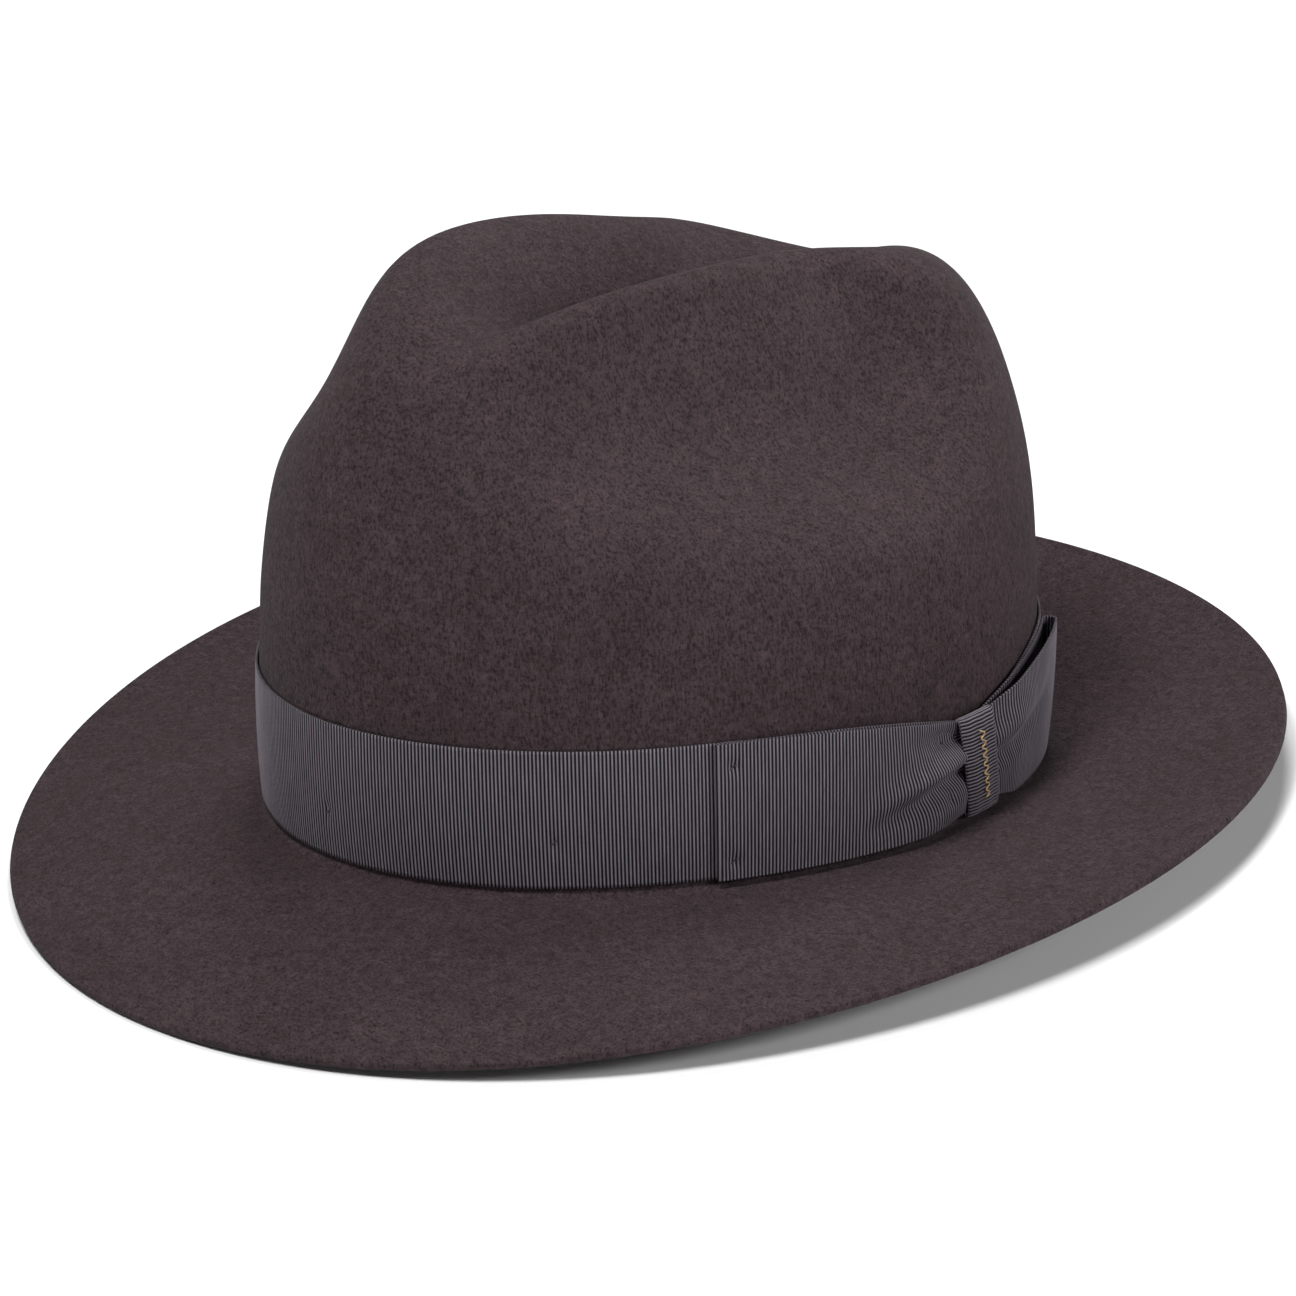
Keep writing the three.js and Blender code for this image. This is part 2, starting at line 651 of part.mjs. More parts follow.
// The hat stands on the front edge of its brim and on the lowest line from there to the underside of its back.
const feltPoints = hat.getObjectByName("felt_body").geometry.getAttribute("position");
const points = range(feltPoints.count, (i) => new THREE.Vector3().fromBufferAttribute(feltPoints, i));
const frontFoot = points.reduce((lowest, point) => (point.z < lowest.z ? point : lowest));
const slopes = points
  .filter((point) => point.y > 0)
  .map((point) => (point.z - frontFoot.z) / (point.y - frontFoot.y));
hat.rotation.x = -Math.atan(Math.min(...slopes));

// The origin is the middle of the box round the hat, at the level it stands on.
const standing = new THREE.Group();
standing.add(hat);
standing.updateMatrixWorld(true);
const box = new THREE.Box3().setFromObject(hat, true);
const middle = box.getCenter(new THREE.Vector3());
hat.position.set(-middle.x, -middle.y, -box.min.z);

export default standing;
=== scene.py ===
"""Looks of a fur-felt fedora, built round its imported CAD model.

Shapes are worked out in millimetres in the hat's own frame: upright, front towards -Y, the wearer's left
towards +X and z = 0 at the brim break. stand() then leans the hat back on its brim and turns millimetres
into metres. Angles run round the hat from its front (0) through the wearer's left (90), in degrees.
"""
import math

import bpy
import numpy as np
from mathutils import Matrix, Vector


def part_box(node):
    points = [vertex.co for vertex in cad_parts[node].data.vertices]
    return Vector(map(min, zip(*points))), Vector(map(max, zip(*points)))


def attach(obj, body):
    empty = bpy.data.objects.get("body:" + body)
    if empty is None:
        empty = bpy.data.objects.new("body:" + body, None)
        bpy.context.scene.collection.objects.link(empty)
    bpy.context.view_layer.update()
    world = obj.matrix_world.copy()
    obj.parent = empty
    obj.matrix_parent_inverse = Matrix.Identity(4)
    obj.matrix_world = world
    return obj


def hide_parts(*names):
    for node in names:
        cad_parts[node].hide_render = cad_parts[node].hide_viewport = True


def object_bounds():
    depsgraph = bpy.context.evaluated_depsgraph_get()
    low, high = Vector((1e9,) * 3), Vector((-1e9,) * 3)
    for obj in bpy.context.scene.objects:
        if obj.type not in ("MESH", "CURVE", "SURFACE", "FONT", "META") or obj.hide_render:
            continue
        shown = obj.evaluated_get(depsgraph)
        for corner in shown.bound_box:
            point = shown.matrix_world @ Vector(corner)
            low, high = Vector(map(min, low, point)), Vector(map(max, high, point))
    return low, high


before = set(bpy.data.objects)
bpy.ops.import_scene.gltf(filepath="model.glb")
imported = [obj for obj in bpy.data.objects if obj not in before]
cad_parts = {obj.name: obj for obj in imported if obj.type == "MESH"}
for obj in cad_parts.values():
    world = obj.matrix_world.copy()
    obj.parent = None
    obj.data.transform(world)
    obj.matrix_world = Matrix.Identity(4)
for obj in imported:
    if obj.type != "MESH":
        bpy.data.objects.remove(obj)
cad_low, cad_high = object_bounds()

# ---- driving dimensions, in mm -------------------------------------------------------------------------
HALF_LENGTH, HALF_WIDTH, OVAL_EGG = 107, 88, 0.05  # the crown's oval at the brim break
OPEN_HEIGHT, ROUND_RADIUS, ROUND_HEIGHT = 151.8, 6.03, 1.64  # the last two shape its shoulder
TAPER_SIDES, TAPER_ENDS, BULGE = 0.081, -0.076, 0.143  # shares of the oval
BACK_LEAN, TOP_SLOPE = 4.0, -0.039
CREASE = dict(depth=41.4, half_width=32.9, widening=0.33, centre_y=0.9, half_length=82.0, backward=0.16)
CREASE_SKEW, CREASE_ALONG, CREASE_ACROSS = 0.179, 1.92, 1.65  # its turn off the middle, and its sharpness
CREASE_START, CREASE_FULL = 0.4, 0.67  # shares of the open height
DENT = dict(depth=26.3, centre_y=10.0, stagger=4.4, height=118.4, sharpness=4.0)
DENT_REACH = dict(ahead=91.2, behind=42.5, below=31.7, above=37.4)
RIDGE = 21.0  # half width of the ridge left between the dents
FELT = 2.2
BREAK_RADIUS = 2.5
BRIM_WIDTH, BRIM_PITCH, BRIM_SADDLE, BRIM_CURL = 69, -19, -3, 1.5  # the edge drops in front
GAP, RIBBON = 0.3, 0.5  # between layers, and the thickness of the ribbon
BAND_FOOT, BAND_WIDTH = 2.2, 35
GATHER_REACH, GATHER_DROP = 30.5, 12.5  # the band's drop under the knot: degrees along it, mm down
TUCK_REACH, TUCK_DROP = 12, 2.5  # the same at its end under the front loop
BAND_SLACK, GATHER_SLACK = 0.1, 0.5
KNOT = dict(angle=109.5, half_angle=3.9, foot=2.0, top=29.5, lean=3.2, back=1.3, stand=5.6)
BAND_ENDS = KNOT["angle"] - 1.5, 80 + 360  # it starts under the knot and ends under the front loop
LOOP_FOOT = 1.45
LOOP_FALL = 2.2  # how suddenly a loop's top edge falls to the knot
LOOP_TUCK = dict(side=0.6, top=0.6, foot=1.2)  # how far the loops go in under the knot: degrees, mm, mm
FRONT_LOOP = dict(end=66, fold=0.55, puff=2.0, dive=2.0, waist=0.4, top=37.2)
REAR_LOOP = dict(end=141, fold=1.8, puff=-0.4, dive=1.8, waist=0.72, top=36.5)
RIB_PITCH, RIB_HEIGHT, SELVEDGE = 0.95, 0.24, 0.9
SELVEDGE_HEIGHT = 0.8 * RIB_HEIGHT
THREAD = 0.22  # radius
TACK = dict(reach=0.9, rise=0.7, arch=0.16)
TRIM = dict(zigs=16, middle=-0.15, swing=0.13, foot=0.16, top=0.86)  # shares of the knot's face
LINING = dict(thickness=0.4, foot=8, shoulder=36, top=84, draw_in=21)
LINING_TIP = dict(covered=0.985, above=1, dome=2.5, gather=0.3)
PIPING = dict(radius=0.6, above=0.4, outward=1.1)
REED = dict(radius=0.7, height=0.5)
REED_TAPE = dict(thickness=0.3, foot=-0.6, top=6)
LEATHER = dict(thickness=0.9, foot=-0.8, top=36.5, seat=12, stitch_line=4.5, stitches=150)
RIPPLE = 0.12  # of the sweatband
STITCH = dict(reach=0.36, arch=0.25, dent=0.35, dent_reach=0.8)  # its reach is a share of the pitch
LACE = dict(zigs=12, swing=1.1, foot=14, below_top=2)
SMALL_BOW = dict(height=8.5, reach=9, half_knot=1.3, waist=2.0, width=4.8, stand=1.15, ribbon=10)
SIZE_TAB = dict(first=196, last=205, foot=17, top=27)

DEGREE = math.pi / 180
DEGREES_PER_MM = 1 / (HALF_LENGTH * DEGREE)  # along the crown's side
ANGLE_STEP, CLIMB_STEP = 0.05, 1e-3  # to either side of a point whose slope is measured


def smooth(start, end, x):
    t = np.clip((x - start) / (end - start), 0, 1)
    return t * t * (3 - 2 * t)


def bell(x, sharpness=2.0):
    return np.exp(-np.abs(x) ** sharpness)


def between(start, end, t):
    return start + (end - start) * t


# ---- the hat's surfaces --------------------------------------------------------------------------------
def break_oval(angle):
    a = np.asarray(angle) * DEGREE
    return HALF_WIDTH * np.sin(a) * (1 - OVAL_EGG * np.cos(a)), -HALF_LENGTH * np.cos(a)


def oval_outward(angle):
    x1, y1 = break_oval(angle + ANGLE_STEP)
    x0, y0 = break_oval(angle - ANGLE_STEP)
    length = np.hypot(x1 - x0, y1 - y0)
    return (y1 - y0) / length, (x0 - x1) / length


def open_crown(angle, climb):
    """The crown before it is creased. climb runs from 0 at the break to 1 at the middle of the top."""
    radius = np.cos(climb * math.pi / 2)
    level = np.clip(1 - radius**ROUND_RADIUS, 0, 1) ** (1 / ROUND_HEIGHT)
    x, y = break_oval(angle)
    full = BULGE * level * (1 - level)
    x = x * radius * (1 - TAPER_SIDES * level + full)
    y = y * radius * (1 - TAPER_ENDS * level + full) + BACK_LEAN * level
    return np.stack([x, y, OPEN_HEIGHT * level * (1 + TOP_SLOPE * y / 100)], axis=-1)


def creased_crown(angle, climb):
    """The open crown with its crease and its two dents pressed in."""
    x, y, z = np.moveaxis(open_crown(angle, climb), -1, 0)
    behind = y - CREASE["centre_y"]
    along = behind / CREASE["half_length"]
    aside = x + CREASE_SKEW * behind
    across = aside / (CREASE["half_width"] * (1 + CREASE["widening"] * along))
    deep = CREASE["depth"] * (1 + CREASE["backward"] * along)
    deep = deep * smooth(CREASE_START, CREASE_FULL, z / OPEN_HEIGHT)
    side = np.tanh(aside / RIDGE)
    dent_y = y - DENT["centre_y"] - DENT["stagger"] * side
    dent_z = z - DENT["height"]
    dent_y = dent_y / np.where(dent_y < 0, DENT_REACH["ahead"], DENT_REACH["behind"])
    dent_z = dent_z / np.where(dent_z < 0, DENT_REACH["below"], DENT_REACH["above"])
    x = x - side * DENT["depth"] * bell(np.hypot(dent_y, dent_z), DENT["sharpness"])
    z = z - deep * bell(along, CREASE_ALONG) * bell(across, CREASE_ACROSS)
    return np.stack([x, y, z], axis=-1)


def climb_at(height):
    level = np.maximum(height, 0) / OPEN_HEIGHT
    return np.arccos((1 - level**ROUND_HEIGHT) ** (1 / ROUND_RADIUS)) * 2 / math.pi


def brim(angle, out, lift=0.0):
    """The brim's outer face, out mm from the break and lifted by lift."""
    rise = BRIM_PITCH * np.cos(angle * DEGREE) + BRIM_SADDLE * np.cos(2 * angle * DEGREE)
    flat = np.sqrt(BRIM_WIDTH**2 - rise**2)
    reach = out / BRIM_WIDTH
    x, y = break_oval(angle)
    across, along = oval_outward(angle)
    x, y = x + across * flat * reach, y + along * flat * reach
    return np.stack([x, y, rise * reach**BRIM_CURL + lift], axis=-1)


def wall(angle, height, offset):
    """A point on the open crown's wall at a height, moved outward by offset."""
    angle, height, offset = np.broadcast_arrays(angle, height, offset)
    climb = climb_at(height)
    around = open_crown(angle + ANGLE_STEP, climb) - open_crown(angle - ANGLE_STEP, climb)
    up = open_crown(angle, climb + CLIMB_STEP) - open_crown(angle, np.maximum(climb - CLIMB_STEP, 0))
    normal = np.cross(around, up)
    normal /= np.linalg.norm(normal, axis=-1, keepdims=True)
    point = open_crown(angle, climb) + normal * offset[..., None]
    point[..., 2] += np.minimum(height, 0)
    return point


# ---- felt body, still upright --------------------------------------------------------------------------
FELT_COLUMNS = 540
CORNER_ROWS, BRIM_ROWS, BEND_ROWS, WALL_ROWS, TOP_ROWS = 4, 57, 7, 84, 64
WORN_CORNER = 0.55  # radius of the worn corners of the cut edge
BEND_CLEAR = 3.2  # the flat brim ends this far from the crown
WALL_FOOT, WALL_TOP = 2.6, 104  # heights between which the rows are evenly spaced
UNEVEN, UNEVEN_FROM, UNEVEN_FULL = 0.2, 40, 60  # mm, and the heights where it starts and is full
UNEVEN_WAVES = (
    (0.031, 0.017, 0.043, 0.4),
    (-0.022, 0.037, 0.029, 2.1),
    (0.053, -0.041, 0.019, 3.7),
    (0.014, 0.061, -0.057, 5.2),
)  # radians for each mm along x, y and z, and the start


def hand_worked(points):
    """Slow unevenness that blocking and creasing by hand leave in the felt, as a lift along the surface."""
    x, y, z = np.moveaxis(points, -1, 0)
    lift = sum(np.sin(a * x + b * y + c * z + start) for a, b, c, start in UNEVEN_WAVES)
    return UNEVEN * lift * smooth(UNEVEN_FROM, UNEVEN_FULL, z)


def grid_normals(points):
    """Outward directions of a grid of points that closes on itself from its last column to its first."""
    wrapped = np.concatenate([points[-1:], points, points[:1]])
    normal = np.cross(wrapped[2:] - wrapped[:-2], np.gradient(points, axis=1))
    return normal / np.maximum(np.linalg.norm(normal, axis=-1, keepdims=True), 1e-9)


def felt_skins():
    """The felt's outer and inner face, from the edge of the brim to the middle of the top."""
    angle = (np.arange(FELT_COLUMNS) / FELT_COLUMNS * 360)[:, None]
    turn = np.linspace(0, math.pi / 2, CORNER_ROWS)
    edge = BRIM_WIDTH - WORN_CORNER * (1 - np.cos(turn))
    plain = np.linspace(edge[-1], BEND_CLEAR, BRIM_ROWS)[1:]
    bend = np.linspace(0, math.pi / 2, BEND_ROWS + 1)[:-1]  # the bend between brim and crown
    outs = np.concatenate([edge, plain, BREAK_RADIUS * (1 - np.sin(bend))])
    lifts = np.zeros(len(outs))
    lifts[:CORNER_ROWS] = -WORN_CORNER * (1 - np.sin(turn))
    lifts[-BEND_ROWS:] = BREAK_RADIUS * (1 - np.cos(bend))
    wall_climbs = climb_at(np.linspace(WALL_FOOT, WALL_TOP, WALL_ROWS))
    climbs = np.concatenate([wall_climbs, np.linspace(wall_climbs[-1], 1, TOP_ROWS)[1:-1]])
    flat = brim(angle, outs[None], lifts[None])
    wall_foot = open_crown(angle, climb_at(BREAK_RADIUS))
    flared = wall_foot[..., :2] - np.stack(break_oval(angle), axis=-1)
    flat[:, -BEND_ROWS:, :2] += flared * (bend / (math.pi / 2))[:, None]
    outer = np.concatenate([flat, creased_crown(angle, climbs[None])], axis=1)
    outer = outer + grid_normals(outer) * hand_worked(outer)[..., None]
    normal = grid_normals(outer)
    normal[:, :CORNER_ROWS] = normal[:, CORNER_ROWS : CORNER_ROWS + 1]
    depth = np.full(outer.shape[1], FELT)
    depth[:CORNER_ROWS] += 2 * lifts[:CORNER_ROWS]
    return outer, outer - normal * depth[None, :, None]


# ---- the hat's place -----------------------------------------------------------------------------------
# It stands on the front edge of its brim and on the lowest line from there to the underside of its back.
felt_outer, felt_inner = felt_skins()
felt_points = np.concatenate([felt_outer.reshape(-1, 3), felt_inner.reshape(-1, 3)])
front_foot = felt_points[felt_points[:, 2].argmin()]
rear = felt_points[felt_points[:, 1] > 0]
lean_back = -math.atan(((rear[:, 2] - front_foot[2]) / (rear[:, 1] - front_foot[1])).min())
turned = np.array(Matrix.Rotation(lean_back, 3, "X"))
leaned = felt_points @ turned.T * 0.001
felt_low, felt_high = (np.array(corner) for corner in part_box("felt_body"))
shift = np.array([0.0, (felt_low[1] + felt_high[1]) / 2, felt_low[2]])
shift -= [0.0, (leaned[:, 1].min() + leaned[:, 1].max()) / 2, leaned[:, 2].min()]


def stand(points):
    """From the hat's own frame, in mm, to the part's frame, in m."""
    return points @ turned.T * 0.001 + shift


# ---- mesh building -------------------------------------------------------------------------------------
def quads(a, b, c, d):
    return np.stack([a, b, c, d], axis=-1).reshape(-1, 4)


def shell_faces(columns, rows, wrap=False):
    """Faces of a closed shell whose outer skin is columns x rows points, followed by its inner skin."""
    outer = np.arange(columns * rows).reshape(columns, rows)
    if wrap:
        outer = np.vstack([outer, outer[:1]])
    inner = outer + columns * rows
    faces = [
        quads(outer[:-1, :-1], outer[1:, :-1], outer[1:, 1:], outer[:-1, 1:]),
        quads(inner[:-1, :-1], inner[:-1, 1:], inner[1:, 1:], inner[1:, :-1]),
        quads(outer[:-1, 0], inner[:-1, 0], inner[1:, 0], outer[1:, 0]),
        quads(outer[:-1, -1], outer[1:, -1], inner[1:, -1], inner[:-1, -1]),
    ]
    if not wrap:
        faces += [
            quads(outer[0, :-1], outer[0, 1:], inner[0, 1:], inner[0, :-1]),
            quads(outer[-1, :-1], inner[-1, :-1], inner[-1, 1:], outer[-1, 1:]),
        ]
    return np.vstack(faces)


def finished_piece(name, points, faces, node, material, uv=None):
    """Makes a smooth mesh piece that stands for a CAD node. uv gives each point its place on the cloth."""
    mesh = bpy.data.meshes.new(name)
    mesh.from_pydata(stand(points.reshape(-1, 3)).tolist(), [], faces)
    mesh.polygons.foreach_set("use_smooth", np.ones(len(mesh.polygons), bool))
    if uv is not None:
        corner = np.empty(len(mesh.loops), np.int32)
        mesh.loops.foreach_get("vertex_index", corner)
        mesh.uv_layers.new(name="cloth").data.foreach_set("uv", uv[corner].astype(np.float32).ravel())
    mesh.materials.append(material)
    piece = bpy.data.objects.new(name, mesh)
    bpy.context.collection.objects.link(piece)
    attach(piece, "root")
    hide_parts(node)
    return piece


def shell(name, outer, inner, node, material, wrap=False, cloth=None):
    """A closed shell between two grids of points. cloth gives the along and across place of each column and
    row in mm, for materials that follow the weave."""
    columns, rows = outer.shape[:2]
    points = np.concatenate([outer.reshape(-1, 3), inner.reshape(-1, 3)])
    uv = None
    if cloth is not None:
        along, across = np.broadcast_arrays(*cloth)
        side = np.stack([along.ravel(), across.ravel()], axis=-1) * 0.001
        uv = np.concatenate([side, side])
    faces = shell_faces(columns, rows, wrap).tolist()
    return finished_piece(name, points, faces, node, material, uv)


def tube_grid(path, radius, sides=10, closed=False):
    """Points of a round cord along a path, as a grid of sections."""
    ahead = np.roll(path, -1, axis=0)
    behind = np.roll(path, 1, axis=0)
    if not closed:
        ahead[-1], behind[0] = path[-1], path[0]
    along = ahead - behind
    along /= np.linalg.norm(along, axis=1, keepdims=True)
    across = np.cross([0.0, 0.02, 1.0], along)
    across /= np.linalg.norm(across, axis=1, keepdims=True)
    up = np.cross(along, across)
    turn = np.arange(sides) / sides * 2 * math.pi
    spokes = across[:, None] * np.cos(turn)[:, None] + up[:, None] * np.sin(turn)[:, None]
    return path[:, None] + spokes * np.broadcast_to(radius, len(path))[:, None, None]


def tube_faces(count, sides, closed=False, first=0):
    ring = np.arange(count * sides).reshape(count, sides) + first
    if closed:
        ring = np.vstack([ring, ring[:1]])
    ring = np.hstack([ring, ring[:, :1]])
    faces = quads(ring[:-1, :-1], ring[:-1, 1:], ring[1:, 1:], ring[1:, :-1]).tolist()
    if not closed:
        faces += [ring[0, :-1][::-1].tolist(), ring[-1, :-1].tolist()]
    return faces


def cords(name, paths, radius, node, material, sides=10, closed=False):
    """One piece made of round cords, each with rounded ends unless it is closed."""
    points, faces, first = [], [], 0
    for path in paths:
        reach = np.full(len(path), radius)
        if not closed:
            reach[[0, -1]] *= 0.45
        grid = tube_grid(path, reach, sides, closed)
        faces += tube_faces(len(path), sides, closed, first)
        points.append(grid.reshape(-1, 3))
        first += len(points[-1])
    return finished_piece(name, np.concatenate(points), faces, node, material)


def rounded(path, steps):
    """A smooth line through a few points."""
    path = np.asarray(path, float)
    padded = np.vstack([2 * path[0] - path[1], path, 2 * path[-1] - path[-2]])
    t = np.linspace(0, len(path) - 1, steps * (len(path) - 1) + 1)
    i = np.minimum(t.astype(int), len(path) - 2)
    u = (t - i)[:, None]
    a, b, c, d = (padded[i + k] for k in range(4))
    return 0.5 * (2 * b + (c - a) * u + (2 * a - 5 * b + 4 * c - d) * u**2 + (3 * b - a - 3 * c + d) * u**3)


# ---- materials -----------------------------------------------------------------------------------------
class Finish:
    """A procedural material: node helpers round one Principled shader."""

    def __init__(self, name, roughness, **constants):
        self.material = bpy.data.materials.new(name)
        self.material.use_nodes = True
        self.tree = self.material.node_tree
        self.shader = self.tree.nodes["Principled BSDF"]
        self.shader.inputs["Roughness"].default_value = roughness
        for socket, value in constants.items():
            self.shader.inputs[socket.replace("_", " ")].default_value = value

    def node(self, kind, inputs=(), **settings):
        node = self.tree.nodes.new("ShaderNode" + kind)
        for key, value in settings.items():
            setattr(node, key, value)
        for key, value in dict(inputs).items():
            if isinstance(value, bpy.types.NodeSocket):
                self.tree.links.new(value, node.inputs[key])
            else:
                node.inputs[key].default_value = value
        return node

    def place(self, stretch=(1, 1, 1), cloth=False):
        """Where a point is, in metres: on the cloth, or in the part's frame."""
        source = self.node("UVMap", uv_map="cloth") if cloth else self.node("TexCoord")
        out = source.outputs["UV" if cloth else "Object"]
        return self.node("Mapping", {"Vector": out, "Scale": stretch}).outputs[0]

    def noise(self, scale, detail=2.0, place=None, roughness=0.5):
        inputs = {"Vector": place or self.place(), "Scale": scale, "Detail": detail, "Roughness": roughness}
        return self.node("TexNoise", inputs).outputs[0]

    def lines(self, pitch, place, direction="X", distortion=0.0):
        """Waves across one direction, one each pitch metres, with a crest at 0."""
        inputs = {"Vector": place, "Scale": math.pi / (10 * pitch), "Distortion": distortion}
        inputs["Phase Offset"] = math.pi
        return self.node("TexWave", inputs, bands_direction=direction).outputs[1]

    def math(self, operation, a, b=0.5):
        return self.node("Math", {0: a, 1: b}, operation=operation).outputs[0]

    def ramp(self, value, stops):
        node = self.node("ValToRGB", {0: value})
        elements = node.color_ramp.elements
        while len(elements) < len(stops):
            elements.new(0.5)
        for element, (position, colour) in zip(elements, stops):
            element.position = position
            element.color = (*colour, 1)
        return node.outputs[0]

    def mix(self, a, b, factor, blend="MIX"):
        node = self.node("Mix", data_type="RGBA", blend_type=blend)
        for socket, value in ((0, factor), (6, a), (7, b)):
            if isinstance(value, bpy.types.NodeSocket):
                self.tree.links.new(value, node.inputs[socket])
            else:
                node.inputs[socket].default_value = value if socket == 0 else (*value, 1)
        return node.outputs[2]

    def set(self, socket, out):
        self.tree.links.new(out, self.shader.inputs[socket])

    def bump(self, *layers):
        """Each layer is a height and its size in metres, finest last."""
        normal = None
        for height, distance in layers:
            inputs = {"Height": height, "Distance": distance, "Strength": 1.0}
            if normal is not None:
                inputs["Normal"] = normal
            normal = self.node("Bump", inputs).outputs[0]
        self.set("Normal", normal)


def shade(colour, factor):
    return tuple(min(1.0, c * factor) for c in colour)


def grey(value):
    return (value, value, value)


def felt_finish():
    """Short nap: fibres about a millimetre long, matted every way, over slow unevenness of the dye."""
    base = (0.055, 0.0375, 0.042)
    finish = Finish("fur felt", 0.95, Sheen_Weight=0.02, Sheen_Roughness=0.6, Specular_IOR_Level=0.1)
    patches = finish.noise(45, 3)
    mottle = finish.noise(330, 4, roughness=0.7)
    lying = finish.noise(1500, 3, finish.place((1, 1, 0.4)), 0.75)
    standing = finish.noise(1500, 3, finish.place((0.45, 0.45, 1)), 0.75)
    nap = finish.math("MULTIPLY", lying, finish.math("ADD", standing, 0.5))
    colour = finish.ramp(mottle, [(0.3, shade(base, 0.72)), (0.5, base), (0.72, shade(base, 1.3))])
    dye = finish.ramp(patches, [(0.3, grey(0.86)), (0.7, (1.0, 0.98, 0.99))])
    colour = finish.mix(colour, dye, 1, "MULTIPLY")
    fibres = finish.ramp(nap, [(0.34, grey(0.32)), (0.5, grey(0.8)), (0.66, grey(1.1))])
    finish.set("Base Color", finish.mix(colour, fibres, 1, "MULTIPLY"))
    finish.bump((mottle, 0.0004), (nap, 0.0004))
    return finish.material


def ribbon_finish(name, base):
    """Grosgrain: the ribs are in the mesh, the fine warp that crosses them is here.
    The colour also follows the ribs, with painted shade in their grooves and a painted highlight on their
    crests.
    """
    finish = Finish(name, 0.55, Specular_IOR_Level=0.14)
    place = finish.place(cloth=True)
    warp = finish.lines(0.00032, place, "Y", 0.6)
    # A crest at each rib of the mesh; it drives the painted groove shade and crest highlight below.
    ribs = finish.lines(RIB_PITCH * 0.001, place, "X")
    uneven = finish.noise(900, 3, finish.place((1, 0.15, 1), cloth=True))
    # Painted shade in the grooves between the ribs and a painted highlight on their crests.
    colour = finish.ramp(ribs, [(0.32, shade(base, 0.06)), (0.64, base), (0.92, shade(base, 1.9))])
    weave = finish.ramp(warp, [(0.2, grey(0.72)), (0.7, grey(1.0))])
    colour = finish.mix(colour, weave, 1, "MULTIPLY")
    slubs = finish.ramp(uneven, [(0.35, (0.8, 0.8, 0.81)), (0.65, grey(1.0))])
    finish.set("Base Color", finish.mix(colour, slubs, 1, "MULTIPLY"))
    finish.bump((warp, 0.00006), (uneven, 0.00006))
    return finish.material


def thread_finish(name, base, roughness=0.55, metallic=0.0):
    finish = Finish(name, roughness, Metallic=metallic, Sheen_Weight=0.2)
    ply = finish.noise(2200, 2, finish.place((1, 1, 2.5)))
    finish.set("Base Color", finish.ramp(ply, [(0.3, shade(base, 0.6)), (0.7, shade(base, 1.15))]))
    finish.bump((ply, 0.0001))
    return finish.material


def leather_finish(name, base):
    finish = Finish(name, 0.5, Specular_IOR_Level=0.4, Coat_Weight=0.08, Coat_Roughness=0.35)
    cells = finish.node("TexVoronoi", {"Vector": finish.place(), "Scale": 900, "Randomness": 1.0})
    grain = finish.math("MULTIPLY", cells.outputs[0], 1.6)
    cloudy = finish.noise(45, 4)
    pores = finish.noise(2400, 2)
    colour = finish.ramp(cloudy, [(0.3, shade(base, 0.72)), (0.7, shade(base, 1.2))])
    # Painted shade: the colour is darker in the creases of the grain.
    painted_crease_shade = finish.ramp(grain, [(0.1, grey(1.0)), (0.9, (0.78, 0.76, 0.75))])
    finish.set("Base Color", finish.mix(colour, painted_crease_shade, 1, "MULTIPLY"))
    rough = finish.ramp(cloudy, [(0.3, grey(0.42)), (0.7, grey(0.6))])
    finish.set("Roughness", rough)
    finish.bump((grain, 0.00012), (pores, 0.00004))
    return finish.material


def satin_finish(name, base):
    finish = Finish(name, 0.34, Sheen_Weight=0.3, Sheen_Roughness=0.25, Specular_IOR_Level=0.6)
    floats = finish.noise(2400, 2, finish.place((1, 1, 0.12)))
    soft = finish.noise(60, 3)
    colour = finish.ramp(floats, [(0.3, shade(base, 0.75)), (0.7, shade(base, 1.15))])
    cloudy = finish.ramp(soft, [(0.3, (0.85, 0.85, 0.86)), (0.7, grey(1.0))])
    finish.set("Base Color", finish.mix(colour, cloudy, 1, "MULTIPLY"))
    finish.bump((soft, 0.0004), (floats, 0.00004))
    return finish.material


def woven_finish(name, base, pitch):
    finish = Finish(name, 0.8, Sheen_Weight=0.2)
    place = finish.place(cloth=True)
    warp = finish.lines(pitch, place, "X", 0.4)
    weft = finish.lines(pitch, place, "Y", 0.4)
    cells = finish.math("MULTIPLY", warp, weft)
    finish.set("Base Color", finish.ramp(cells, [(0.05, shade(base, 0.6)), (0.6, shade(base, 1.15))]))
    finish.bump((cells, 0.00008))
    return finish.material


def plastic_finish(name, base):
    finish = Finish(name, 0.4, Specular_IOR_Level=0.5)
    drawn = finish.noise(300, 2, finish.place((1, 1, 0.2)))
    finish.set("Base Color", finish.ramp(drawn, [(0.3, shade(base, 0.9)), (0.7, base)]))
    finish.bump((drawn, 0.00005))
    return finish.material


FELT_LOOK = felt_finish()
BAND_LOOK = ribbon_finish("band grosgrain", (0.128, 0.112, 0.131))
BOW_LOOK = ribbon_finish("bow grosgrain", (0.128, 0.112, 0.131))
THREAD_LOOK = thread_finish("ribbon thread", (0.006, 0.005, 0.006))
TRIM_LOOK = thread_finish("gold thread", (0.62, 0.4, 0.18), 0.38, 0.35)
LEATHER_LOOK = leather_finish("sweatband leather", (0.16, 0.075, 0.038))
LEATHER_THREAD_LOOK = thread_finish("sweatband thread", (0.3, 0.19, 0.11))
REED_LOOK = plastic_finish("reed plastic", (0.7, 0.64, 0.54))
TAPE_LOOK = woven_finish("reed tape", (0.03, 0.027, 0.03), 0.0005)
TAB_LOOK = woven_finish("size tab", (0.72, 0.68, 0.6), 0.0003)
SMALL_BOW_LOOK = ribbon_finish("small bow grosgrain", (0.05, 0.046, 0.053))
SATIN_LOOK = satin_finish("lining satin", (0.075, 0.055, 0.07))
PIPING_LOOK = satin_finish("piping satin", (0.16, 0.12, 0.15))


